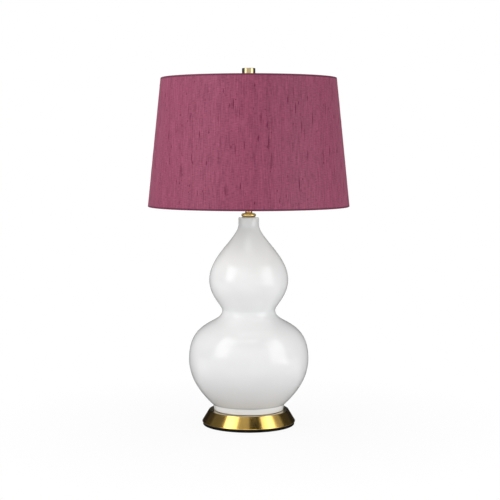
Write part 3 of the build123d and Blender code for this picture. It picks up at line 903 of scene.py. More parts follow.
def rounded(corners: list[Triple], steps: int) -> list[Pair]:
    """A closed outline with some of its corners rounded.

    Args:
        corners: each corner's radius, height and rounding, in millimetres.
        steps: the runs of each rounding.

    Returns:
        The outline's points.
    """
    points: list[Pair] = []
    for i, (x, z, size) in enumerate(corners):
        here = Vector((x, z))
        if not size:
            points.append((x, z))
            continue
        back = (Vector(corners[i - 1][:2]) - here).normalized()
        ahead = (Vector(corners[(i + 1) % len(corners)][:2]) - here).normalized()
        half = back.angle(ahead) / 2
        centre = here + (back + ahead).normalized() * size / sin(half)
        start = here + back * size / tan(half) - centre
        end = here + ahead * size / tan(half) - centre
        for k in range(steps + 1):
            point = centre + start.slerp(end, k / steps).normalized() * size
            points.append((point.x, point.y))
    return points


def climb(radius: float, start: float, end: float, steps: int) -> list[Pair]:
    """Points up or down a straight wall, its ends left out."""
    return [(radius, start + (end - start) * k / steps) for k in range(1, steps)]


def bezier(start: Vector, first: Vector, second: Vector, end: Vector, steps: int) -> list[Pair]:
    """Points along a cubic curve, its start left out.

    Args:
        start: where it begins.
        first: its first handle.
        second: its second handle.
        end: where it ends.
        steps: its runs.

    Returns:
        The points.
    """
    points = []
    for k in range(1, steps + 1):
        t, left = k / steps, 1 - k / steps
        point = start * left**3 + first * 3 * t * left**2 + second * 3 * t * t * left + end * t**3
        points.append((point.x, point.y))
    return points


def cut(mesh: Mesh, tool: Mesh) -> Mesh:
    """Cuts a closed tool out of a mesh.

    Args:
        mesh: what is cut.
        tool: the shape taken away.

    Returns:
        The cut mesh.
    """
    work, cutter = placed("work", mesh), placed("cutter", tool)
    modifier = work.modifiers.new("cut", "BOOLEAN")
    modifier.operation, modifier.solver, modifier.object = "DIFFERENCE", "EXACT", cutter
    result = applied(work)
    bpy.data.objects.remove(cutter)
    return finish_mesh(result)


def bar(start: Vector, end: Vector, radius: float) -> Mesh:
    """A closed round bar to cut with.

    Args:
        start: the middle of its first end, in millimetres.
        end: the middle of its other end.
        radius: its radius, in millimetres.

    Returns:
        The bar's mesh, in metres.
    """
    start, end = start * MM, end * MM
    turn = (end - start).to_track_quat("Z", "Y").to_matrix().to_4x4()
    turn.translation = (start + end) / 2
    size = {"radius1": radius * MM, "radius2": radius * MM, "depth": (end - start).length, "segments": 48}
    work = bmesh.new()
    bmesh.ops.create_cone(work, cap_ends=True, matrix=turn, **size)
    mesh = bpy.data.meshes.new("bar")
    work.to_mesh(mesh)
    work.free()
    return mesh


@dataclass
class Bench:
    """The shared trees that pieces are made with. Sizes in millimetres."""

    arm: float = 60.0
    wire_sides: int = 24
    bend_steps: int = 14
    lathe: Growth = field(default_factory=lathe_tree)
    wire: Growth = field(default_factory=wire_tree)

    def turn(
        self, name: str, outline: list[Pair], finish: Finish, body: Body, node: str, rounds: int,
        sharp: float = 35.0, thread: Thread = Thread(), tool: Mesh | None = None, aside: float = 0.0,
    ) -> None:
        """Turns an outline about Z and settles the piece.

        Args:
            name: the piece's name.
            outline: its closed half section as (radius, height).
            finish: its finish.
            body: the body it moves with.
            node: the solid it stands for.
            rounds: its faces round the axis.
            sharp: the angle in degrees from which an edge stays sharp.
            thread: the thread on it.
            tool: a shape cut out of it.
            aside: how far it then moves along X.
        """
        host = edge_mesh([((r - self.arm) * MM, -z * MM, 0.0) for r, z in outline], True)
        sizes: dict[str, object] = {"Arm": self.arm * MM, "Rounds": rounds}
        sizes |= {f"Thread {size}": value * MM for size, value in asdict(thread).items()}
        mesh = finish_mesh(self.lathe.grow(name, host, sizes, finish), sharp)
        if tool is not None:
            mesh = cut(mesh, tool)
        if aside:
            for vertex in mesh.vertices:
                vertex.co.x += aside * MM
        settle(name, mesh, finish, body, node)

    def bend(self, route: list[Triple], bends: list[float], size: float) -> Mesh:
        """Bends one wire.

        Args:
            route: its corners.
            bends: the bend's radius at each corner.
            size: the wire's diameter.

        Returns:
            The finished mesh.
        """
        corners = [tuple(part * MM for part in point) for point in route]
        host = edge_mesh(corners, False, bend=[radius * MM for radius in bends])
        sizes = {"Wire radius": size / 2 * MM, "Sides": self.wire_sides, "Bend steps": self.bend_steps}
        return finish_mesh(self.wire.grow("harp_wire", host, sizes, BRASS), 50.0)


@dataclass
class Assembly:
    """A sub-assembly of the lamp, made on the bench. Its sizes are in millimetres."""

    bench: Bench


@dataclass
class Gourd(Assembly):
    """The glazed double-gourd body."""

    foot_low: float = 28.8
    foot_recess: float = 8.0
    foot_land: float = 9.0
    foot_bottom_r: float = 66.0
    foot_top_r: float = 68.0
    crease: Pair = (69.5, 40.0)
    belly: Pair = (113.4, 126.0)
    waist: Pair = (50.2, 218.0)
    upper: Pair = (74.7, 276.0)
    collar: Pair = (19.3, 381.0)
    mouth: float = 394.6
    lip: float = 2.5
    wall: float = 6.0
    bore_r: float = 6.0
    roof: float = 384.6
    lean: float = 46.0
    shares: tuple[Pair, ...] = ((0.407, 0.403), (0.822, 0.301), (0.158, 0.525), (0.434, 0.24))
    names: tuple[str, ...] = ("Crease", "Belly", "Waist", "Upper", "Collar")
    arm: float = 60.0
    rounds: int = 200
    steps: int = 44

    def tree(self) -> Growth:
        """Builds the rule of the body: four swells between five stations, a foot, a lip and an inner wall.

        Returns:
            The tree.
        """
        tree = Growth("Gourd")
        outer = tree.ask("Vector", *self.names)
        inner = tree.ask("Vector", *[f"Inner {name.lower()}" for name in self.names])
        pairs = zip(self.names, self.names[1:])
        shares = [tree.ask("Float", f"{low} rise share", f"{high} fall share") for low, high in pairs]
        lean, lip_start, lip_end, lip_corner, base = tree.ask(
            "Vector", "Crease lean", "Lip start", "Lip end", "Lip corner", "Hollow floor"
        )
        corners = tree.ask("Vector", *[f"Corner {i + 1}" for i in range(8)])
        [arm] = tree.ask("Float", "Arm")
        rounds, steps = tree.ask("Int", "Rounds", "Steps")
        runs = []
        for stations in (outer, inner):
            for i, share in enumerate(shares):
                way = (0.0, 1.0, 0.0) if i else lean
                runs.append(self.swell(tree, stations[i], stations[i + 1], share, way, steps))
        foot = [*corners[:5], outer[0]]
        hollow = [lip_end, *corners[5:], inner[4]]
        for chain in (foot, [outer[4], lip_start], hollow, [inner[0], base, corners[0]]):
            for start, end in zip(chain, chain[1:]):
                runs.append(tree.node("CurvePrimitiveLine", {"Start": start, "End": end}))
        runs.append(self.lip_run(tree, lip_start, lip_end, lip_corner, steps))
        joined = tree.add("GeometryNodeJoinGeometry")
        for run in runs:
            tree.tree.links.new(run, joined.inputs[0])
        edges = tree.node("CurveToMesh", {"Curve": joined.outputs[0]})
        outline = tree.node("MeshToCurve", {0: tree.node("MergeByDistance", {0: edges, "Distance": 1e-6})})
        aside = tree.vector(tree.times(arm, -1.0), 0.0)
        flipped = tree.vector_math("MULTIPLY_ADD", tree.node("InputPosition"), (1.0, -1.0, 1.0), aside)
        laid = tree.node("SetPosition", {0: outline, "Position": flipped})
        return tree.close(tree.turn(laid, rounds, arm))

    def swell(
        self, tree: Growth, start: Value, end: Value, shares: list[Value], way: Value, steps: Value
    ) -> NodeSocket:
        """Draws one swell, which ends upright.

        Args:
            tree: the tree it goes into.
            start: its first station.
            end: its last station.
            shares: the shares of the rise that its two handles reach.
            way: the way it leaves its start.
            steps: its runs.

        Returns:
            The curve's socket.
        """
        _, rise, _ = tree.parts(tree.vector_math("SUBTRACT", end, start))
        out = tree.scaled(way, tree.times(rise, shares[0]))
        back = tree.vector(0.0, tree.times(rise, shares[1]))
        near, far = tree.vector_math("ADD", start, out), tree.vector_math("SUBTRACT", end, back)
        return tree.segment(steps, start, near, far, end)

    def lip_run(self, tree: Growth, start: Value, end: Value, corner: Value, steps: Value) -> NodeSocket:
        """Draws the rounding of the mouth's edge, as near a quarter round as a cubic curve comes.

        Args:
            tree: the tree it goes into.
            start: where it leaves the wall.
            end: where it meets the top.
            corner: the corner that it rounds.
            steps: its runs.

        Returns:
            The curve's socket.
        """
        quarter = (0.5523,) * 3
        near, far = [
            tree.vector_math("MULTIPLY_ADD", tree.vector_math("SUBTRACT", corner, tip), quarter, tip)
            for tip in (start, end)
        ]
        return tree.segment(steps, start, near, far, end)

    def sizes(self) -> dict[str, object]:
        """Works out the tree's inputs.

        Returns:
            A value for each named input, in metres.
        """
        out, up = sin(radians(self.lean)), cos(radians(self.lean))
        outer = [self.crease, self.belly, self.waist, self.upper, self.collar]
        inner = [(self.crease[0] - self.wall * up, self.crease[1] + self.wall * out)]
        inner += [(radius - self.wall, height) for radius, height in outer[1:]]
        recess, land = self.foot_low + self.foot_recess, self.foot_bottom_r - self.foot_land
        top_r = self.collar[0]
        corners = [
            (self.bore_r, recess), (land, recess), (land, self.foot_low), (self.foot_bottom_r, self.foot_low),
            (self.foot_top_r, self.crease[1]),
            (self.bore_r, self.mouth), (self.bore_r, self.roof), (top_r - self.wall, self.roof),
        ]
        places = dict(zip(self.names, outer))
        places |= {f"Inner {name.lower()}": place for name, place in zip(self.names, inner)}
        places |= {f"Corner {i + 1}": place for i, place in enumerate(corners)}
        places |= {"Lip start": (top_r, self.mouth - self.lip), "Lip end": (top_r - self.lip, self.mouth)}
        places |= {"Lip corner": (top_r, self.mouth), "Hollow floor": (self.bore_r, inner[0][1])}
        sizes: dict[str, object] = {name: (r * MM, z * MM, 0.0) for name, (r, z) in places.items()}
        for low, high, (rise, fall) in zip(self.names, self.names[1:], self.shares):
            sizes |= {f"{low} rise share": rise, f"{high} fall share": fall}
        sizes |= {"Crease lean": (out, up, 0.0), "Arm": self.arm * MM}
        return sizes | {"Rounds": self.rounds, "Steps": self.steps}

    def build(self) -> None:
        """Makes and dresses the body."""
        host = bpy.data.meshes.new("gourd_host")
        mesh = finish_mesh(self.tree().grow("gourd_body", host, self.sizes(), GLAZE), 40.0)
        settle("gourd_body", mesh, GLAZE, Body.BASE, "ceramic_body")
        dress(GASKET, "foot_gasket", "mouth_gasket")


@dataclass
class Plinth(Assembly):
    """The brass plinth, its pad, its weight and what is inside it."""

    pad_r: float = 87.0
    pad_t: float = 5.0
    foot_r: float = 88.5
    bead_r: float = 1.2
    bead_sweep: float = -1.62 * pi
    bead_steps: int = 22
    top_r: float = 75.5
    top: float = 28.0
    edge_r: float = 1.5
    inner_edge_r: float = 0.8
    wall: float = 1.2
    bore_r: float = 6.0
    outlet: Triple = (0.0, 82.12, 17.0)
    outlet_r: float = 4.8
    outlet_reach: float = 8.0
    rib: float = 1.2
    rib_slope: float = 0.3
    rib_gap: float = 6.0
    rib_low: float = 0.6
    rib_start: float = 12.0
    rib_margin: float = 8.0
    rim: float = 5.0

    def build(self) -> None:
        """Makes and dresses the base."""
        foot_z, skirt_r = self.pad_t + 2 * self.bead_r, self.foot_r - self.bead_r / 2
        run, rise = skirt_r - self.top_r, self.top - foot_z
        inner = self.wall * hypot(run, rise) / rise
        centre = Vector((self.foot_r - self.bead_r, self.pad_t + self.bead_r))
        start = Vector((skirt_r, foot_z)) - centre
        bead = []
        for k in range(1, self.bead_steps):
            angle = atan2(start.y, start.x) + self.bead_sweep * k / self.bead_steps
            bead.append((centre.x + self.bead_r * cos(angle), centre.y + self.bead_r * sin(angle)))
        corners = [
            (skirt_r - inner, foot_z, 0.0), (self.top_r - inner / 2, self.top - self.wall, self.inner_edge_r),
            (self.bore_r, self.top - self.wall, 0.0), (self.bore_r, self.top, 0.0),
            (self.top_r, self.top, self.edge_r), (skirt_r, foot_z, 0.0),
        ]
        reach = Vector((0.0, rise, run)).normalized() * self.outlet_reach
        tool = bar(Vector(self.outlet) - reach, Vector(self.outlet) + reach, self.outlet_r)
        skirt = rounded(corners, 8) + bead
        self.bench.turn("plinth_skirt", skirt, BRUSHED_BRASS, Body.BASE, "base_plinth", 240, 30.0, tool=tool)
        self.build_pad()
        dress(IRON, "base_weight")
        dress(BLACK_PLASTIC, "cord_bush")
        dress(NYLON, "terminal_block")
        dress(ZINC, "block_screws", "rod_washer", "lock_washer", "rod_nut", "threaded_rod")

    def build_pad(self) -> None:
        """Makes the rubber pad, with ribs round its underside."""
        low, slope, edge = self.rib_low, self.rib_slope, self.pad_r
        corners = [(0.0, self.pad_t, 0.0), (0.0, low, 0.0)]
        radius = self.rib_start
        while radius < edge - self.rib_margin:
            corners += [(radius, low, 0.0), (radius + slope, 0.0, 0.2)]
            corners += [(radius + self.rib, 0.0, 0.2), (radius + self.rib + slope, low, 0.0)]
            radius += self.rib_gap
        corners += [(edge - self.rim, low, 0.0), (edge - self.rim + slope, 0.0, 0.2)]
        corners += [(edge, 0.0, 0.8), (edge, self.pad_t, 0.5)]
        self.bench.turn("rubber_pad", rounded(corners, 3), PAD, Body.BASE, "base_pad", 160)


@dataclass
class NeckStack(Assembly):
    """The brass disc and the neck above the ceramic mouth."""

    low: float = 395.2
    cap_r: float = 13.75
    cap_h: float = 7.0
    bore_r: float = 5.05
    groove: float = 0.35
    groove_radii: tuple[float, ...] = (9.4, 9.2, 8.8, 8.6)

    def build(self) -> None:
        """Makes the disc and dresses the neck."""
        high, edge = self.low + self.cap_h, self.cap_h / 2 - 0.05
        outer, outer_foot, inner_foot, inner = self.groove_radii
        corners = [
            (self.bore_r, self.low, 0.0), (self.cap_r, self.low, edge), (self.cap_r, high, edge),
            (outer, high, 0.2), (outer_foot, high - self.groove, 0.15),
            (inner_foot, high - self.groove, 0.15), (inner, high, 0.2), (self.bore_r, high, 0.0),
        ]
        self.bench.turn("mouth_disc", rounded(corners, 12), BRASS, Body.BASE, "vase_cap", 128)
        dress(NECK_BRASS_PAINTED_SHADE, "neck_sleeve", "neck_screw")


@dataclass
class Harp(Assembly):
    """The wire bow that carries the shade."""

    wire: float = 3.5
    leg_x: float = 30.0
    belly_x: float = 52.0
    foot: float = 413.1
    leg_top: float = 439.0
    belly: float = 475.0
    top: float = 636.85
    bends: Triple = (18.0, 18.0, 45.0)
    shoulder_r: float = 6.0
    shoulder: float = 641.6
    stud_r: float = 3.175
    stud_l: float = 12.7
    stud_tip: float = 0.6
    stud_steps: int = 110
    thread_pitch: float = 0.9407
    thread_depth: float = 0.5
    ferrule_x: float = 29.38
    ferrule_bore_r: float = 3.498
    ferrule_r: float = 4.448
    ferrule_h: float = 10.0
    roll_h: float = 1.3
    roll_slope: float = 0.6
    roll_depth: float = 0.3

    def build(self) -> None:
        """Makes the bow, its stud and its ferrules."""
        half = [(self.leg_x, 0.0, self.foot), (self.leg_x, 0.0, self.leg_top)]
        half += [(self.belly_x, 0.0, self.belly), (self.belly_x, 0.0, self.top)]
        route = half + [(-x, y, z) for x, y, z in reversed(half)]
        mesh = self.bench.bend(route, [0.0, *self.bends, *self.bends[::-1], 0.0], self.wire)
        settle("harp_wire", mesh, BRASS, Body.HARP, "harp_bow")
        self.build_stud()
        for side, body in ((-1, Body.FERRULE_LEFT), (1, Body.FERRULE_RIGHT)):
            self.build_ferrule(side, body)
        dress(BRASS, "harp_saddle")

    def build_stud(self) -> None:
        """Makes the shoulder and the threaded stud over the bow."""
        tip, low = self.shoulder + self.stud_l, self.top + 0.2
        corners = [
            (0.0, low, 0.0), (self.shoulder_r - 0.8, low, 0.0), (self.shoulder_r, low + 0.9, 0.4),
            (self.shoulder_r, self.shoulder, 0.5), (self.stud_r, self.shoulder, 0.0),
        ]
        shank = climb(self.stud_r, self.shoulder, tip - self.stud_tip, self.stud_steps)
        end = [(self.stud_r, tip - self.stud_tip), (self.stud_r - self.stud_tip, tip), (0.0, tip)]
        thread = Thread(self.thread_depth, self.thread_pitch, self.shoulder + 0.8, tip - 0.3, 0.8)
        outline = rounded(corners, 6) + shank + end
        self.bench.turn("harp_stud_threaded", outline, BRASS, Body.HARP, "harp_stud", 72, 60.0, thread)

    def build_ferrule(self, side: int, body: Body) -> None:
        """Makes one ferrule, with a rolled edge at each end.

        Args:
            side: -1 for the left one, 1 for the right one.
            body: the body it moves with, whose name its solid shares.
        """
        low, high, bore, out = self.foot, self.foot + self.ferrule_h, self.ferrule_bore_r, self.ferrule_r
        waist, roll, neck = out - self.roll_depth, self.roll_h, self.roll_h + self.roll_slope
        corners = [
            (bore, low, 0.2), (out, low, 0.35), (out, low + roll, 0.3), (waist, low + neck, 0.3),
            (waist, high - neck, 0.3), (out, high - roll, 0.3), (out, high, 0.35), (bore, high, 0.2),
        ]
        aside = side * self.ferrule_x
        self.bench.turn(f"{body.value}_sleeve", rounded(corners, 4), BRASS, body, body.value, 56, aside=aside)


@dataclass
class Lampholder(Assembly):
    """The brass lampholder and its switch."""

    low: float = 413.0
    boss_r: float = 7.5
    boss_h: float = 8.0
    cap_r: float = 17.8
    cap_h: float = 22.0
    cap_wall: float = 0.8
    cap_round: float = 6.0
    roll_h: float = 2.6
    roll_slope: float = 0.4
    roll_depth: float = 0.3
    rod_r: float = 5.05
    shell_r: float = 17.0
    shell_wall: float = 0.6
    shell_lap: float = 3.0
    shell_h: float = 42.0
    beads: Triple = (14.0, 11.5, 9.0)
    bead_half: float = 0.9
    bead_depth: float = 0.35
    lip: float = 1.0
    core_top: float = 451.0
    screw_r: float = 13.15
    screw_wall: float = 0.5
    screw_h: float = 20.0
    screw_steps: int = 72
    contact_half: float = 8.0
    thread_pitch: float = 3.629
    thread_depth: float = 0.6
    switch_z: float = 442.0
    switch_hole_r: float = 3.0
    switch_hole_reach: Pair = (-10.0, -30.0)

    def build(self) -> None:
        """Makes and dresses the lampholder."""
        self.build_cap()
        self.build_shell()
        self.build_screw_shell()
        dress(FIBRE, "holder_liner")
        dress(BAKELITE, "holder_core", "switch_knob")
        dress(NICKEL, "terminal_screws", "centre_contact", "switch_shaft")
        dress(PVC_BROWN, "live_wire")
        dress(PVC_BLUE, "neutral_wire")
        dress(PVC_GREEN, "earth_wire")

    def build_cap(self) -> None:
        """Makes the cap, with a rolled edge and a boss."""
        top, shelf = self.low + self.cap_h, self.low + self.boss_h
        wall, skin = self.cap_wall, self.cap_r - self.roll_depth
        corners = [
            (self.rod_r, self.low, 0.2), (self.boss_r, self.low, 0.6), (self.boss_r, shelf - wall, 0.5),
            (skin, shelf - wall, self.cap_round), (skin, top - self.roll_h - self.roll_slope, 0.3),
            (self.cap_r, top - self.roll_h, 0.3),
            (self.cap_r, top, 0.35), (self.cap_r - wall, top, 0.2),
            (self.cap_r - wall, shelf, self.cap_round - wall), (self.rod_r, shelf, 0.0),
        ]
        self.bench.turn("holder_cap_spun", rounded(corners, 8), BRASS, Body.BASE, "holder_cap", 96)

    def build_shell(self) -> None:
        """Makes the shell, with beads round it and the hole for the switch."""
        low = self.low + self.cap_h - self.shell_lap
        high, inner, outer = low + self.shell_h, self.shell_r - self.shell_wall, self.shell_r
        corners = [(inner, low, 0.0), (outer, low, 0.0)]
        for drop in self.beads:
            height = high - drop
            corners += [(outer, height - self.bead_half, 0.3), (outer - self.bead_depth, height, 0.4)]
            corners.append((outer, height + self.bead_half, 0.3))
        corners += [(outer, high, 1.0), (inner - self.lip, high, 0.0)]
        corners += [(inner - self.lip, high - self.shell_wall, 0.0), (inner, high - self.shell_wall, 0.4)]
        near, far = [Vector((0.0, y, self.switch_z)) for y in self.switch_hole_reach]
        shell, tool = rounded(corners, 5), bar(near, far, self.switch_hole_r)
        self.bench.turn("holder_shell_spun", shell, BRASS, Body.BASE, "holder_shell", 128, tool=tool)

    def build_screw_shell(self) -> None:
        """Makes the threaded shell that takes the bulb."""
        outer, inner, low = self.screw_r + self.screw_wall, self.screw_r, self.core_top
        top, floor, hole = low + self.screw_h, low + self.screw_wall, self.contact_half
        outline = [(hole, low), (outer, low), *climb(outer, low, top, self.screw_steps), (outer, top)]
        outline += [(inner, top), *climb(inner, top, floor, self.screw_steps), (inner, floor), (hole, floor)]
        thread = Thread(-self.thread_depth, self.thread_pitch, floor + 1.0, top - 0.6, 1.5)
        self.bench.turn("screw_shell_rolled", outline, NICKEL, Body.BASE, "screw_shell", 96, 50.0, thread)


@dataclass
class Bulb(Assembly):
    """The opal bulb."""

    tip: float = 453.1
    length: float = 107.0
    glass_r: float = 30.0
    glass_t: float = 0.8
    screw_r: float = 13.1
    screw_l: float = 27.0
    screw_wall: float = 0.35
    screw_steps: int = 84
    collar_h: float = 3.5
    collar_flare: float = 0.4
    shell_low: float = 5.0
    neck_shares: Pair = (0.36, 0.5)
    neck_depth: float = 7.0
    neck_gap: float = 0.05
    neck_steps: int = 30
    crown_steps: int = 26
    thread_pitch: float = 3.629
    thread_depth: float = 0.75

    def build(self) -> None:
        """Makes the glass and the screw cap."""
        top = self.tip + self.screw_l
        outside, inside = [self.envelope(inset, top - self.neck_depth) for inset in (0.0, self.glass_t)]
        self.bench.turn("bulb_globe", outside + inside[::-1], OPAL, Body.BULB, "bulb_glass", 96)
        low, collar = self.tip + self.shell_low, top - self.collar_h
        outer, inner = self.screw_r, self.screw_r - self.screw_wall
        outline = [(inner, low), (outer, low), *climb(outer, low, collar, self.screw_steps), (outer, collar)]
        outline += [(outer + self.collar_flare, top), (inner, top), (inner, collar)]
        outline += climb(inner, collar, low, self.screw_steps)[:-1]
        thread = Thread(self.thread_depth, self.thread_pitch, low + 0.4, collar - 0.4, 1.6)
        self.bench.turn("bulb_cap_rolled", outline, NICKEL, Body.BULB, "bulb_cap", 96, 50.0, thread)
        dress(VITRITE, "bulb_insulator")
        dress(NICKEL, "bulb_contact")
        dress(CLEAR, "bulb_stem")
        dress(TUNGSTEN, "bulb_filament")

    def envelope(self, inset: float, foot: float) -> list[Pair]:
        """The glass's outline from its foot to its crown.

        Args:
            inset: how far inside the outer face it lies.
            foot: the height of its lower end.

        Returns:
            The outline's points.
        """
        top, middle = self.tip + self.screw_l, self.tip + self.length - self.glass_r
        neck_r, belly_r = self.screw_r - self.screw_wall - self.neck_gap - inset, self.glass_r - inset
        start, end = Vector((neck_r, top)), Vector((belly_r, middle))
        first, second = [Vector((0.0, share * (middle - top))) for share in self.neck_shares]
        points = [(neck_r, foot), (neck_r, top)]
        points += bezier(start, start + first, end - second, end, self.neck_steps)
        for k in range(1, self.crown_steps + 1):
            angle = pi / 2 * k / self.crown_steps
            points.append((belly_r * cos(angle), middle + belly_r * sin(angle)))
        return points


def slub_tree() -> Growth:
    """Builds the tree that scatters slubs on a flat pattern and wraps it round a cone.

    Returns:
        The tree.
    """
    tree = Growth("Slubs")
    count, seed = tree.ask("Int", "Slubs", "Seed")
    low, high = tree.ask("Vector", "Pattern low", "Pattern high")
    shortest, longest, thin, thick, flat = tree.ask(
        "Float", "Shortest", "Longest", "Thinnest", "Thickest", "Flatness"
    )
    sine, cosine, bottom_reach, bottom = tree.ask(
        "Float", "Cone sine", "Cone cosine", "Bottom reach", "Bottom height"
    )
    limits = tree.ask("Float", "Top margin", "Bottom margin", "Pattern half angle")

    def chance(least: Value, most: Value, offset: float, vector: bool = False) -> NodeSocket:
        """Draws a random number or vector for each point.

        Args:
            least: its least value.
            most: its greatest value.
            offset: what is added to the seed.
            vector: whether it is a vector.

        Returns:
            The value's socket.
        """
        first, result = (0, 0) if vector else (2, 1)
        wires = {"Seed": tree.plus(seed, offset), first: least, first + 1: most}
        kind = "FLOAT_VECTOR" if vector else "FLOAT"
        return tree.add("FunctionNodeRandomValue", wires, data_type=kind).outputs[result]

    mostly_short, pointed, hair = 2.4, 1.4, 2e-5
    sown = tree.node("Points", {"Count": count, "Position": chance(low, high, 0.0, True)})
    line = tree.node("CurvePrimitiveLine", {"Start": (0.0, -0.5, 0.0), "End": (0.0, 0.5, 0.0)})
    fine = tree.node("ResampleCurve", {0: line, "Count": 9})
    skew = tree.math("POWER", chance(0.0, 1.0, 5.0), mostly_short)
    length = tree.fused(tree.minus(longest, shortest), skew, shortest)
    for name, value in (("thick", chance(thin, thick, 7.0)), ("long", length)):
        wires = {0: sown, "Name": name, "Value": value}
        sown = tree.node("StoreNamedAttribute", wires, data_type="FLOAT", domain="POINT")
    run = tree.mark("long")
    kept = drop_strays(tree, sown, run, limits)
    wires = {"Points": kept, "Instance": fine, "Scale": tree.vector(1.0, run, 1.0)}
    real = tree.node("RealizeInstances", {0: tree.node("InstanceOnPoints", wires)})
    along = tree.add("GeometryNodeSplineParameter").outputs["Factor"]
    taper = tree.math("POWER", tree.math("SINE", tree.times(along, pi)), pointed)
    radius = tree.math("MAXIMUM", tree.times(taper, tree.mark("thick")), hair)
    weighed = tree.node("SetCurveRadius", {0: real, "Radius": radius})
    ring = tree.node("CurvePrimitiveCircle", {"Resolution": 6, "Radius": 1.0})
    wires = {"Curve": weighed, "Profile Curve": ring, "Fill Caps": True, "Scale": radius}
    yarn = tree.node("CurveToMesh", wires)
    u, v, w = tree.parts(tree.node("InputPosition"))
    reach = tree.diagonal(u, v)
    angle = tree.over(tree.math("ARCTAN2", u, tree.times(v, -1.0)), sine)
    out = tree.fused(reach, sine, tree.times(w, flat))
    height = tree.fused(tree.minus(bottom_reach, reach), cosine, bottom)
    x = tree.times(out, tree.math("SINE", angle))
    y = tree.times(tree.times(out, tree.math("COSINE", angle)), -1.0)
    return tree.close(tree.node("SetPosition", {0: yarn, "Position": tree.vector(x, y, height)}))


def drop_strays(tree: Growth, points: NodeSocket, run: Value, limits: list[Value]) -> NodeSocket:
    """Drops the points whose slubs would run off the flat pattern.

    Args:
        tree: the tree.
        points: the middles of the slubs on the flat pattern.
        run: each slub's length.
        limits: the least and the most distance from the cone's apex, and the most angle.

    Returns:
        The points that are left.
    """
    least, most, edge = limits
    u, v, _ = tree.parts(tree.node("InputPosition"))
    tops, feet = tree.fused(run, 0.5, v), tree.fused(run, -0.5, v)
    inner, outer = [tree.math("SQRT", tree.fused(end, end, tree.times(u, u))) for end in (tops, feet)]
    turn = tree.math("ABSOLUTE", tree.math("ARCTAN2", u, tree.times(tops, -1.0)))
    off = tree.plus(tree.math("LESS_THAN", inner, least), tree.math("GREATER_THAN", outer, most))
    off = tree.plus(off, tree.math("GREATER_THAN", turn, edge))
    return tree.node("DeleteGeometry", {0: points, 1: off}, domain="POINT")


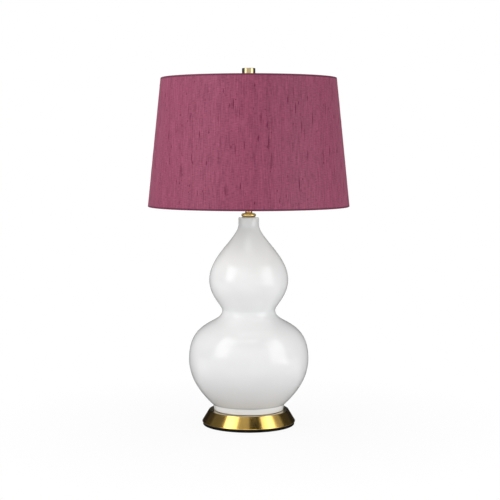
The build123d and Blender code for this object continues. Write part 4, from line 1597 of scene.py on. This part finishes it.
@dataclass
class Shade(Assembly):
    """The silk shade with its liner, rings and spider."""

    top: float = 655.9
    height: float = 241.3
    top_r: float = 165.0
    bottom_r: float = 190.0
    cloth_t: float = 0.6
    tuck_inset: float = 4.55
    tuck_slack: float = 0.3
    fold: float = 9.0
    edge_r: float = 1.5
    lap: float = 14.0
    lap_t: float = 0.5
    lap_step: float = 0.12
    columns: int = 320
    rows: int = 24
    slubs: int = 620
    seed: int = 11
    slub_lengths: Pair = (3.0, 34.0)
    slub_widths: Pair = (0.35, 1.0)
    slub_flatness: float = 0.28
    margin: float = 6.0

    def __post_init__(self) -> None:
        """Works out the cone that the cloth is cut from."""
        self.bottom = self.top - self.height
        run = self.bottom_r - self.top_r
        self.slant = hypot(run, self.height)
        self.sine, self.cosine = run / self.slant, self.height / self.slant
        self.near_reach, self.far_reach = self.top_r / self.sine, self.bottom_r / self.sine
        self.half = pi * self.sine

    def radius(self, height: float, inset: float = 0.0) -> float:
        """The cone's radius at a height, less an inset."""
        return self.top_r + (self.top - height) * self.sine / self.cosine - inset

    def section(self) -> list[Triple]:
        """Works out the cloth's closed section.

        Returns:
            Its points as (radius, height, distance up the cloth).
        """
        skin, tuck, inset = self.cloth_t, self.tuck_inset + self.cloth_t, self.tuck_inset
        low, high, fold, edge = self.bottom, self.top, self.fold, self.edge_r
        stations = [
            (low, 0.0, edge), (high, 0.0, edge), (high, tuck, edge), (high - fold, tuck, 0.0),
            (high - fold, inset, 0.0), (high - skin, inset, 0.0), (high - skin, skin, 0.0),
            (low + skin, skin, 0.0), (low + skin, inset, 0.0), (low + fold, inset, 0.0),
            (low + fold, tuck, 0.0), (low, tuck, edge),
        ]
        outline = rounded([(self.radius(z, back), z, size) for z, back, size in stations], 7)
        section: list[Triple] = []
        for (r, z), (after_r, after_z) in zip(outline, outline[1:] + outline[:1]):
            long_run = hypot(after_r - r, after_z - z) > self.height / 2
            runs = self.rows if long_run else 1
            for k in range(runs):
                here_r, here_z = r + (after_r - r) * (k / runs), z + (after_z - z) * (k / runs)
                section.append((here_r, here_z, self.along(here_r, here_z)))
        return section

    def along(self, r: float, z: float) -> float:
        """Tells how far up the cloth a point of the section lies.

        Args:
            r: the point's radius.
            z: its height.

        Returns:
            The distance from the bottom edge, less than nothing on the fold under it.
        """
        back, upper = self.radius(z) - r, z > self.bottom + self.height / 2
        if back > self.tuck_inset - self.tuck_slack:
            return self.slant + back + (self.top - z) if upper else -back - (z - self.bottom)
        up = (z - self.bottom) / self.cosine
        return up + (back if up > self.slant / 2 else -back)

    def cloth(self) -> Mesh:
        """Makes the cloth as one thin shell with a lapped join at the back.

        Returns:
            The mesh, with the flat pattern in metres as its UV map.
        """
        section = self.section()
        angles = [FULL_TURN * k / self.columns for k in range(self.columns)]
        angles.append(FULL_TURN - self.lap_step / self.bottom_r)
        vertices, faces, corners = [], [], []
        for angle in angles:
            raised = self.lap_t * max(0.0, 1.0 - angle * self.bottom_r / (2 * self.lap))
            for r, z, _ in section:
                outer = self.radius(z) - r < self.cloth_t / 2
                reach = (r + (raised if outer else 0.0)) * MM
                vertices.append((reach * -sin(angle), reach * cos(angle), z * MM))
        count, turns = len(section), len(angles)
        for j in range(turns):
            after = (j + 1) % turns
            here, there = angles[j], angles[after] if after else FULL_TURN
            for i in range(count):
                below = (i + 1) % count
                faces.append((j * count + i, after * count + i, after * count + below, j * count + below))
                up, down = section[i][2], section[below][2]
                corners += [(here, up), (there, up), (there, down), (here, down)]
        mesh = bpy.data.meshes.new("shade_cloth")
        mesh.from_pydata(vertices, [], faces)
        pattern = mesh.uv_layers.new(name="pattern")
        for item, (angle, up) in zip(pattern.data, corners):
            fan, reach = (angle - pi) * self.sine, (self.far_reach - up) * MM
            item.uv = (reach * sin(fan), reach * cos(fan))
        return mesh

    def pattern_sizes(self) -> dict[str, object]:
        """Works out the slub tree's inputs.

        Returns:
            A value for each named input, in metres.
        """
        lengths = {
            "Shortest": self.slub_lengths[0], "Longest": self.slub_lengths[1],
            "Thinnest": self.slub_widths[0], "Thickest": self.slub_widths[1],
            "Bottom reach": self.far_reach, "Bottom height": self.bottom,
            "Top margin": self.near_reach + self.margin, "Bottom margin": self.far_reach - self.margin,
        }
        wide = self.far_reach * sin(self.half) * MM
        return {name: length * MM for name, length in lengths.items()} | {
            "Slubs": self.slubs, "Seed": self.seed, "Flatness": self.slub_flatness,
            "Cone sine": self.sine, "Cone cosine": self.cosine,
            "Pattern low": (-wide, -self.far_reach * MM, 0.0),
            "Pattern high": (wide, -self.near_reach * cos(self.half) * MM, 0.0),
            "Pattern half angle": self.half - self.lap / self.far_reach,
        }

    def build(self) -> None:
        """Makes and dresses the shade."""
        mesh = self.cloth()
        mesh.shade_smooth()
        mesh.set_sharp_from_angle(angle=radians(50.0))
        cloth = settle("shade_cloth", mesh, SILK, Body.SHADE, "shade_fabric")
        host = bpy.data.meshes.new("slub_host")
        grown = slub_tree().grow("shade_slubs", host, self.pattern_sizes(), SLUB)
        slubs = settle("shade_slubs", finish_mesh(grown, 60.0, 1e-7), SLUB, Body.SHADE)
        dress(LINER, "shade_liner")
        dress(WHITE_WIRE, "top_ring", "bottom_ring")
        dress(BRASS, "spider_arm_1", "spider_arm_2", "spider_arm_3", "spider_hub", "seat_washer")


@dataclass
class Finial(Assembly):
    """The brass finial that holds the shade down."""

    low: float = 644.4
    height: float = 29.5
    drum_r: float = 12.5
    drum_h: float = 14.0
    edge_r: float = 1.0
    foot_r: float = 8.5
    foot_h: float = 2.5
    stem_r: float = 6.5
    pocket_r: float = 4.65
    pocket_top: float = 656.45
    dimple: tuple[Pair, ...] = ((3.0, 0.0), (2.4, 0.25), (0.0, 0.3))

    def build(self) -> None:
        """Makes the finial."""
        top, low = self.low + self.height, self.low
        drum = top - self.drum_h
        corners = [
            (self.pocket_r, low, 0.0), (self.foot_r, low, 0.4), (self.foot_r, low + self.foot_h, 0.5),
            (self.stem_r, low + 2 * self.foot_h, 1.2), (self.stem_r, drum, 0.8),
            (self.drum_r, drum, self.edge_r), (self.drum_r, top, self.edge_r),
            *[(radius, top - depth, 0.0 if depth else 0.4) for radius, depth in self.dimple],
            (0.0, self.pocket_top, 0.0), (self.pocket_r, self.pocket_top, 0.0),
        ]
        self.bench.turn("finial_drum", rounded(corners, 7), FINIAL_BRASS, Body.FINIAL, "finial_knob", 96)
        dress(NICKEL, "finial_bush")


def grey(tone: float) -> tuple[float, ...]:
    """A plain grey, from 0, black, to 1, white."""
    return (tone, tone, tone, 1.0)


class Backdrop(NodeWork):
    """A bare node tree for what stands round the lamp."""

    def __init__(self, owner: Material | World) -> None:
        """Empties the tree of a material or a world.

        Args:
            owner: what is painted.
        """
        owner.use_nodes = True
        owner.node_tree.nodes.clear()
        super().__init__(owner.node_tree)

    def glow(self, kind: str, colour: tuple[float, ...], strength: Value) -> NodeSocket:
        """Adds an Emission or a Background shader."""
        return self.add(f"ShaderNode{kind}", {"Color": colour, "Strength": strength}).outputs[0]

    def watched(self) -> tuple[NodeSocket, NodeSocket]:
        """Tells the rays that show the background.

        Returns:
            1 for a camera, glossy or transmission ray that no matt surface sent on, and 1 for a glossy
            one of them.
        """
        rays = self.add("ShaderNodeLightPath").outputs
        direct = self.math("LESS_THAN", rays["Diffuse Depth"], 0.5)
        mirrored = self.times(rays["Is Glossy Ray"], direct)
        seen = self.math("MAXIMUM", rays["Is Camera Ray"], rays["Is Transmission Ray"])
        return self.math("MAXIMUM", self.times(seen, direct), mirrored), mirrored

    def close(self, shader: NodeSocket, kind: str = "Material") -> None:
        """Feeds the shader to a Material or a World output."""
        self.feed(self.add(f"ShaderNodeOutput{kind}").inputs["Surface"], shader)


@dataclass
class Softbox:
    """A soft lamp that faces the axis, tilted by its pitch and its roll. Metres and degrees."""

    name: str
    azimuth: float
    distance: float
    width: float
    low: float
    high: float
    level: float
    pitch: float = 0.0
    roll: float = 0.0
    shown_in: Rays = Rays.MATT

    def build(self) -> None:
        """Makes the lamp."""
        size = self.high - self.low
        lamp = bpy.data.lights.new(self.name, "AREA")
        lamp.shape, lamp.size, lamp.size_y = "RECTANGLE", self.width, size
        lamp.energy = self.level * pi * self.width * size
        holder = placed(self.name, lamp)
        turn = radians(self.azimuth)
        holder.location = (sin(turn) * self.distance, -cos(turn) * self.distance, (self.low + self.high) / 2)
        facing = Euler((pi / 2 - radians(self.pitch), 0.0, turn)).to_matrix()
        holder.rotation_euler = (facing @ Matrix.Rotation(radians(self.roll), 3, "Z")).to_euler()
        holder.visible_camera = False
        holder.visible_diffuse = self.shown_in is Rays.MATT
        holder.visible_glossy = self.shown_in is Rays.GLOSS


@dataclass
class Flag:
    """A dark curved screen that only shows in reflections. Metres and degrees."""

    name: str
    azimuths: Pair
    elevations: Pair
    distance: float
    shade: float
    columns: int = 24
    rows: int = 8

    def build(self, eye: Vector) -> None:
        """Makes the screen as a part of a sphere round a point.

        Args:
            eye: the point that it is set out from.
        """
        (left, right), (low, high), row = self.azimuths, self.elevations, self.columns + 1
        points = []
        for j in range(self.rows + 1):
            up = radians(low + (high - low) * j / self.rows)
            for i in range(row):
                turn = radians(left + (right - left) * i / self.columns)
                way = Vector((sin(turn) * cos(up), -cos(turn) * cos(up), sin(up)))
                points.append(eye + way * self.distance)
        firsts = [j * row + i for j in range(self.rows) for i in range(self.columns)]
        mesh = bpy.data.meshes.new(self.name)
        mesh.from_pydata(points, [], [(k, k + 1, k + row + 1, k + row) for k in firsts])
        paint = bpy.data.materials.new(self.name)
        backdrop = Backdrop(paint)
        backdrop.close(backdrop.glow("Emission", grey(self.shade), 1.0))
        mesh.materials.append(paint)
        screen = placed(self.name, mesh)
        for kind in ("camera", "diffuse", "transmission", "shadow"):
            setattr(screen, f"visible_{kind}", False)


@dataclass
class Studio:
    """The camera, the lamps, the floor and the world. Metres and degrees."""

    eye: Triple = (0.0, -2.544, 0.528)
    tilt: float = 85.6
    yaw: float = -0.055
    lens: float = 97.06
    ambient: float = 0.38
    flag_level: float = 0.02
    floor_half: float = 14.0
    floor_z: float = -0.0004
    floor_tone: float = 0.62
    floor_share: float = 0.07
    floor_near: float = 0.12
    floor_clear: float = 0.40
    floor_far: float = 0.55
    # How dark the painted shadow on the floor near the lamp is, where reflections show it.
    near_dark: float = 0.92
    rear_dark: float = 0.96
    rear: Pair = (98.0, 116.0)
    softboxes: tuple[Softbox, ...] = (
        Softbox("left_softbox", -46.5, 1.2, 0.88, 0.30, 1.40, 2.78),
        Softbox("right_softbox", 52.5, 1.1, 0.66, 0.00, 0.92, 2.00),
        Softbox("right_low_softbox", 73.5, 1.1, 0.26, 0.00, 0.27, 2.20),
        Softbox("left_fill", -100.0, 1.6, 1.2, 0.5, 1.5, 1.5),
        Softbox("right_fill", 95.0, 1.6, 1.0, 0.0, 0.5, 1.6),
        Softbox("overhead", 0.0, 0.20, 0.7, 1.35, 2.05, 0.9, 90.0),
        Softbox("front_fill", 3.0, 2.7, 1.3, 0.0, 1.0, 1.75),
        Softbox("rear_left_fill", -138.0, 1.6, 0.9, 0.1, 1.5, 1.3),
        Softbox("rear_right_fill", 138.0, 1.6, 0.9, 0.1, 1.5, 1.3),
        Softbox("left_window", -54.5, 1.11, 0.64, 0.08, 1.50, 2.00, 42.0, 2.0, Rays.GLOSS),
        Softbox("right_window", 57.5, 1.12, 0.66, -0.18, 1.27, 1.90, 17.0, -3.0, Rays.GLOSS),
        Softbox("right_window_foot", 72.0, 1.1, 0.21, 0.00, 0.13, 1.90, shown_in=Rays.GLOSS),
        Softbox("top_window", 3.0, 1.0, 1.1, 2.00, 2.80, 1.60, 66.0, shown_in=Rays.GLOSS),
    )
    flags: tuple[Flag, ...] = (
        Flag("flag_left_side", (-178.0, -138.0), (-12.0, 55.0), 3.2, 0.02),
        Flag("flag_left_mid", (-138.0, -116.0), (-12.0, 55.0), 3.2, 0.05),
        Flag("flag_left_near", (-116.0, -76.0), (-12.0, 58.0), 3.2, 0.13),
        Flag("flag_right_side", (136.0, 178.0), (-12.0, 55.0), 3.2, 0.02),
        Flag("flag_right_mid", (104.0, 136.0), (-12.0, 55.0), 3.2, 0.05),
        Flag("flag_right_near", (84.0, 104.0), (-12.0, 56.0), 3.2, 0.36),
        Flag("flag_top_front", (2.0, 58.0), (34.0, 78.0), 3.0, 0.01),
        Flag("flag_top_left", (-50.0, 2.0), (38.0, 72.0), 3.0, 0.42),
    )

    def clear(self) -> None:
        """Removes what the scene held before the frame."""
        own = {*frame["nodes"].values(), *frame["bodies"].values()}
        for item in [item for item in bpy.data.objects if item not in own]:
            bpy.data.objects.remove(item)

    def build(self) -> None:
        """Makes the camera, the lamps, the flags, the floor and the world."""
        self.clear()
        camera = placed("camera", bpy.data.cameras.new("camera"))
        camera.location = self.eye
        camera.rotation_euler = (radians(self.tilt), 0.0, radians(self.yaw))
        camera.data.lens = self.lens
        bpy.context.scene.camera = camera
        bpy.context.scene.view_settings.view_transform = "Standard"
        for softbox in self.softboxes:
            softbox.build()
        for flag in self.flags:
            flag.build(Vector((0.0, 0.0, self.flag_level)))
        self.build_floor()
        self.build_world()
        log.info("studio: %d lamps, %d flags", len(self.softboxes), len(self.flags))

    def build_floor(self) -> None:
        """Makes the pale floor; it keeps the lamp's shadow."""
        mesh = bpy.data.meshes.new("floor")
        sides = ((-1, -1), (1, -1), (1, 1), (-1, 1))
        corners = [(x * self.floor_half, y * self.floor_half, self.floor_z) for x, y in sides]
        mesh.from_pydata(corners, [], [(0, 1, 2, 3)])
        paint = bpy.data.materials.new("floor")
        work = Backdrop(paint)
        seen, mirrored = work.watched()
        place = work.add("ShaderNodeTexCoord").outputs["Object"]
        distance = work.length(place)
        x, y, _ = work.parts(place)
        side = work.math("ABSOLUTE", work.math("ARCTAN2", x, work.times(y, -1.0)))
        rear = work.span(side, *[radians(angle) for angle in self.rear], 0.0, self.rear_dark)
        # Near the lamp the floor that reflections show is darkened: painted shadow of the lamp.
        close = work.span(distance, self.floor_near, self.floor_clear, self.near_dark, 0.0)
        level = work.minus(1.0, work.times(work.math("MAXIMUM", rear, close), mirrored))
        share = work.times(seen, work.span(distance, self.floor_near, self.floor_far, 1.0 - self.floor_share))
        matt = work.add("ShaderNodeBsdfDiffuse", {"Color": grey(self.floor_tone)})
        shaders = {0: share, 1: matt.outputs[0], 2: work.glow("Emission", grey(1.0), level)}
        work.close(work.add("ShaderNodeMixShader", shaders).outputs[0])
        mesh.materials.append(paint)
        placed("floor", mesh)

    def build_world(self) -> None:
        """Makes a world that is white where it is seen and plain where it lights."""
        world = bpy.data.worlds.new("studio")
        work = Backdrop(world)
        strength = work.fused(work.watched()[0], 1.0 - self.ambient, self.ambient)
        work.close(work.glow("Background", grey(1.0), strength), "World")
        bpy.context.scene.world = world


def main() -> None:
    """Builds the studio and the lamp."""
    logging.basicConfig(level=logging.INFO, format="%(message)s")
    Studio().build()
    bench = Bench()
    for assembly in (Gourd, Plinth, NeckStack, Harp, Lampholder, Bulb, Shade, Finial):
        assembly(bench).build()


if __name__ == "__main__":
    main()
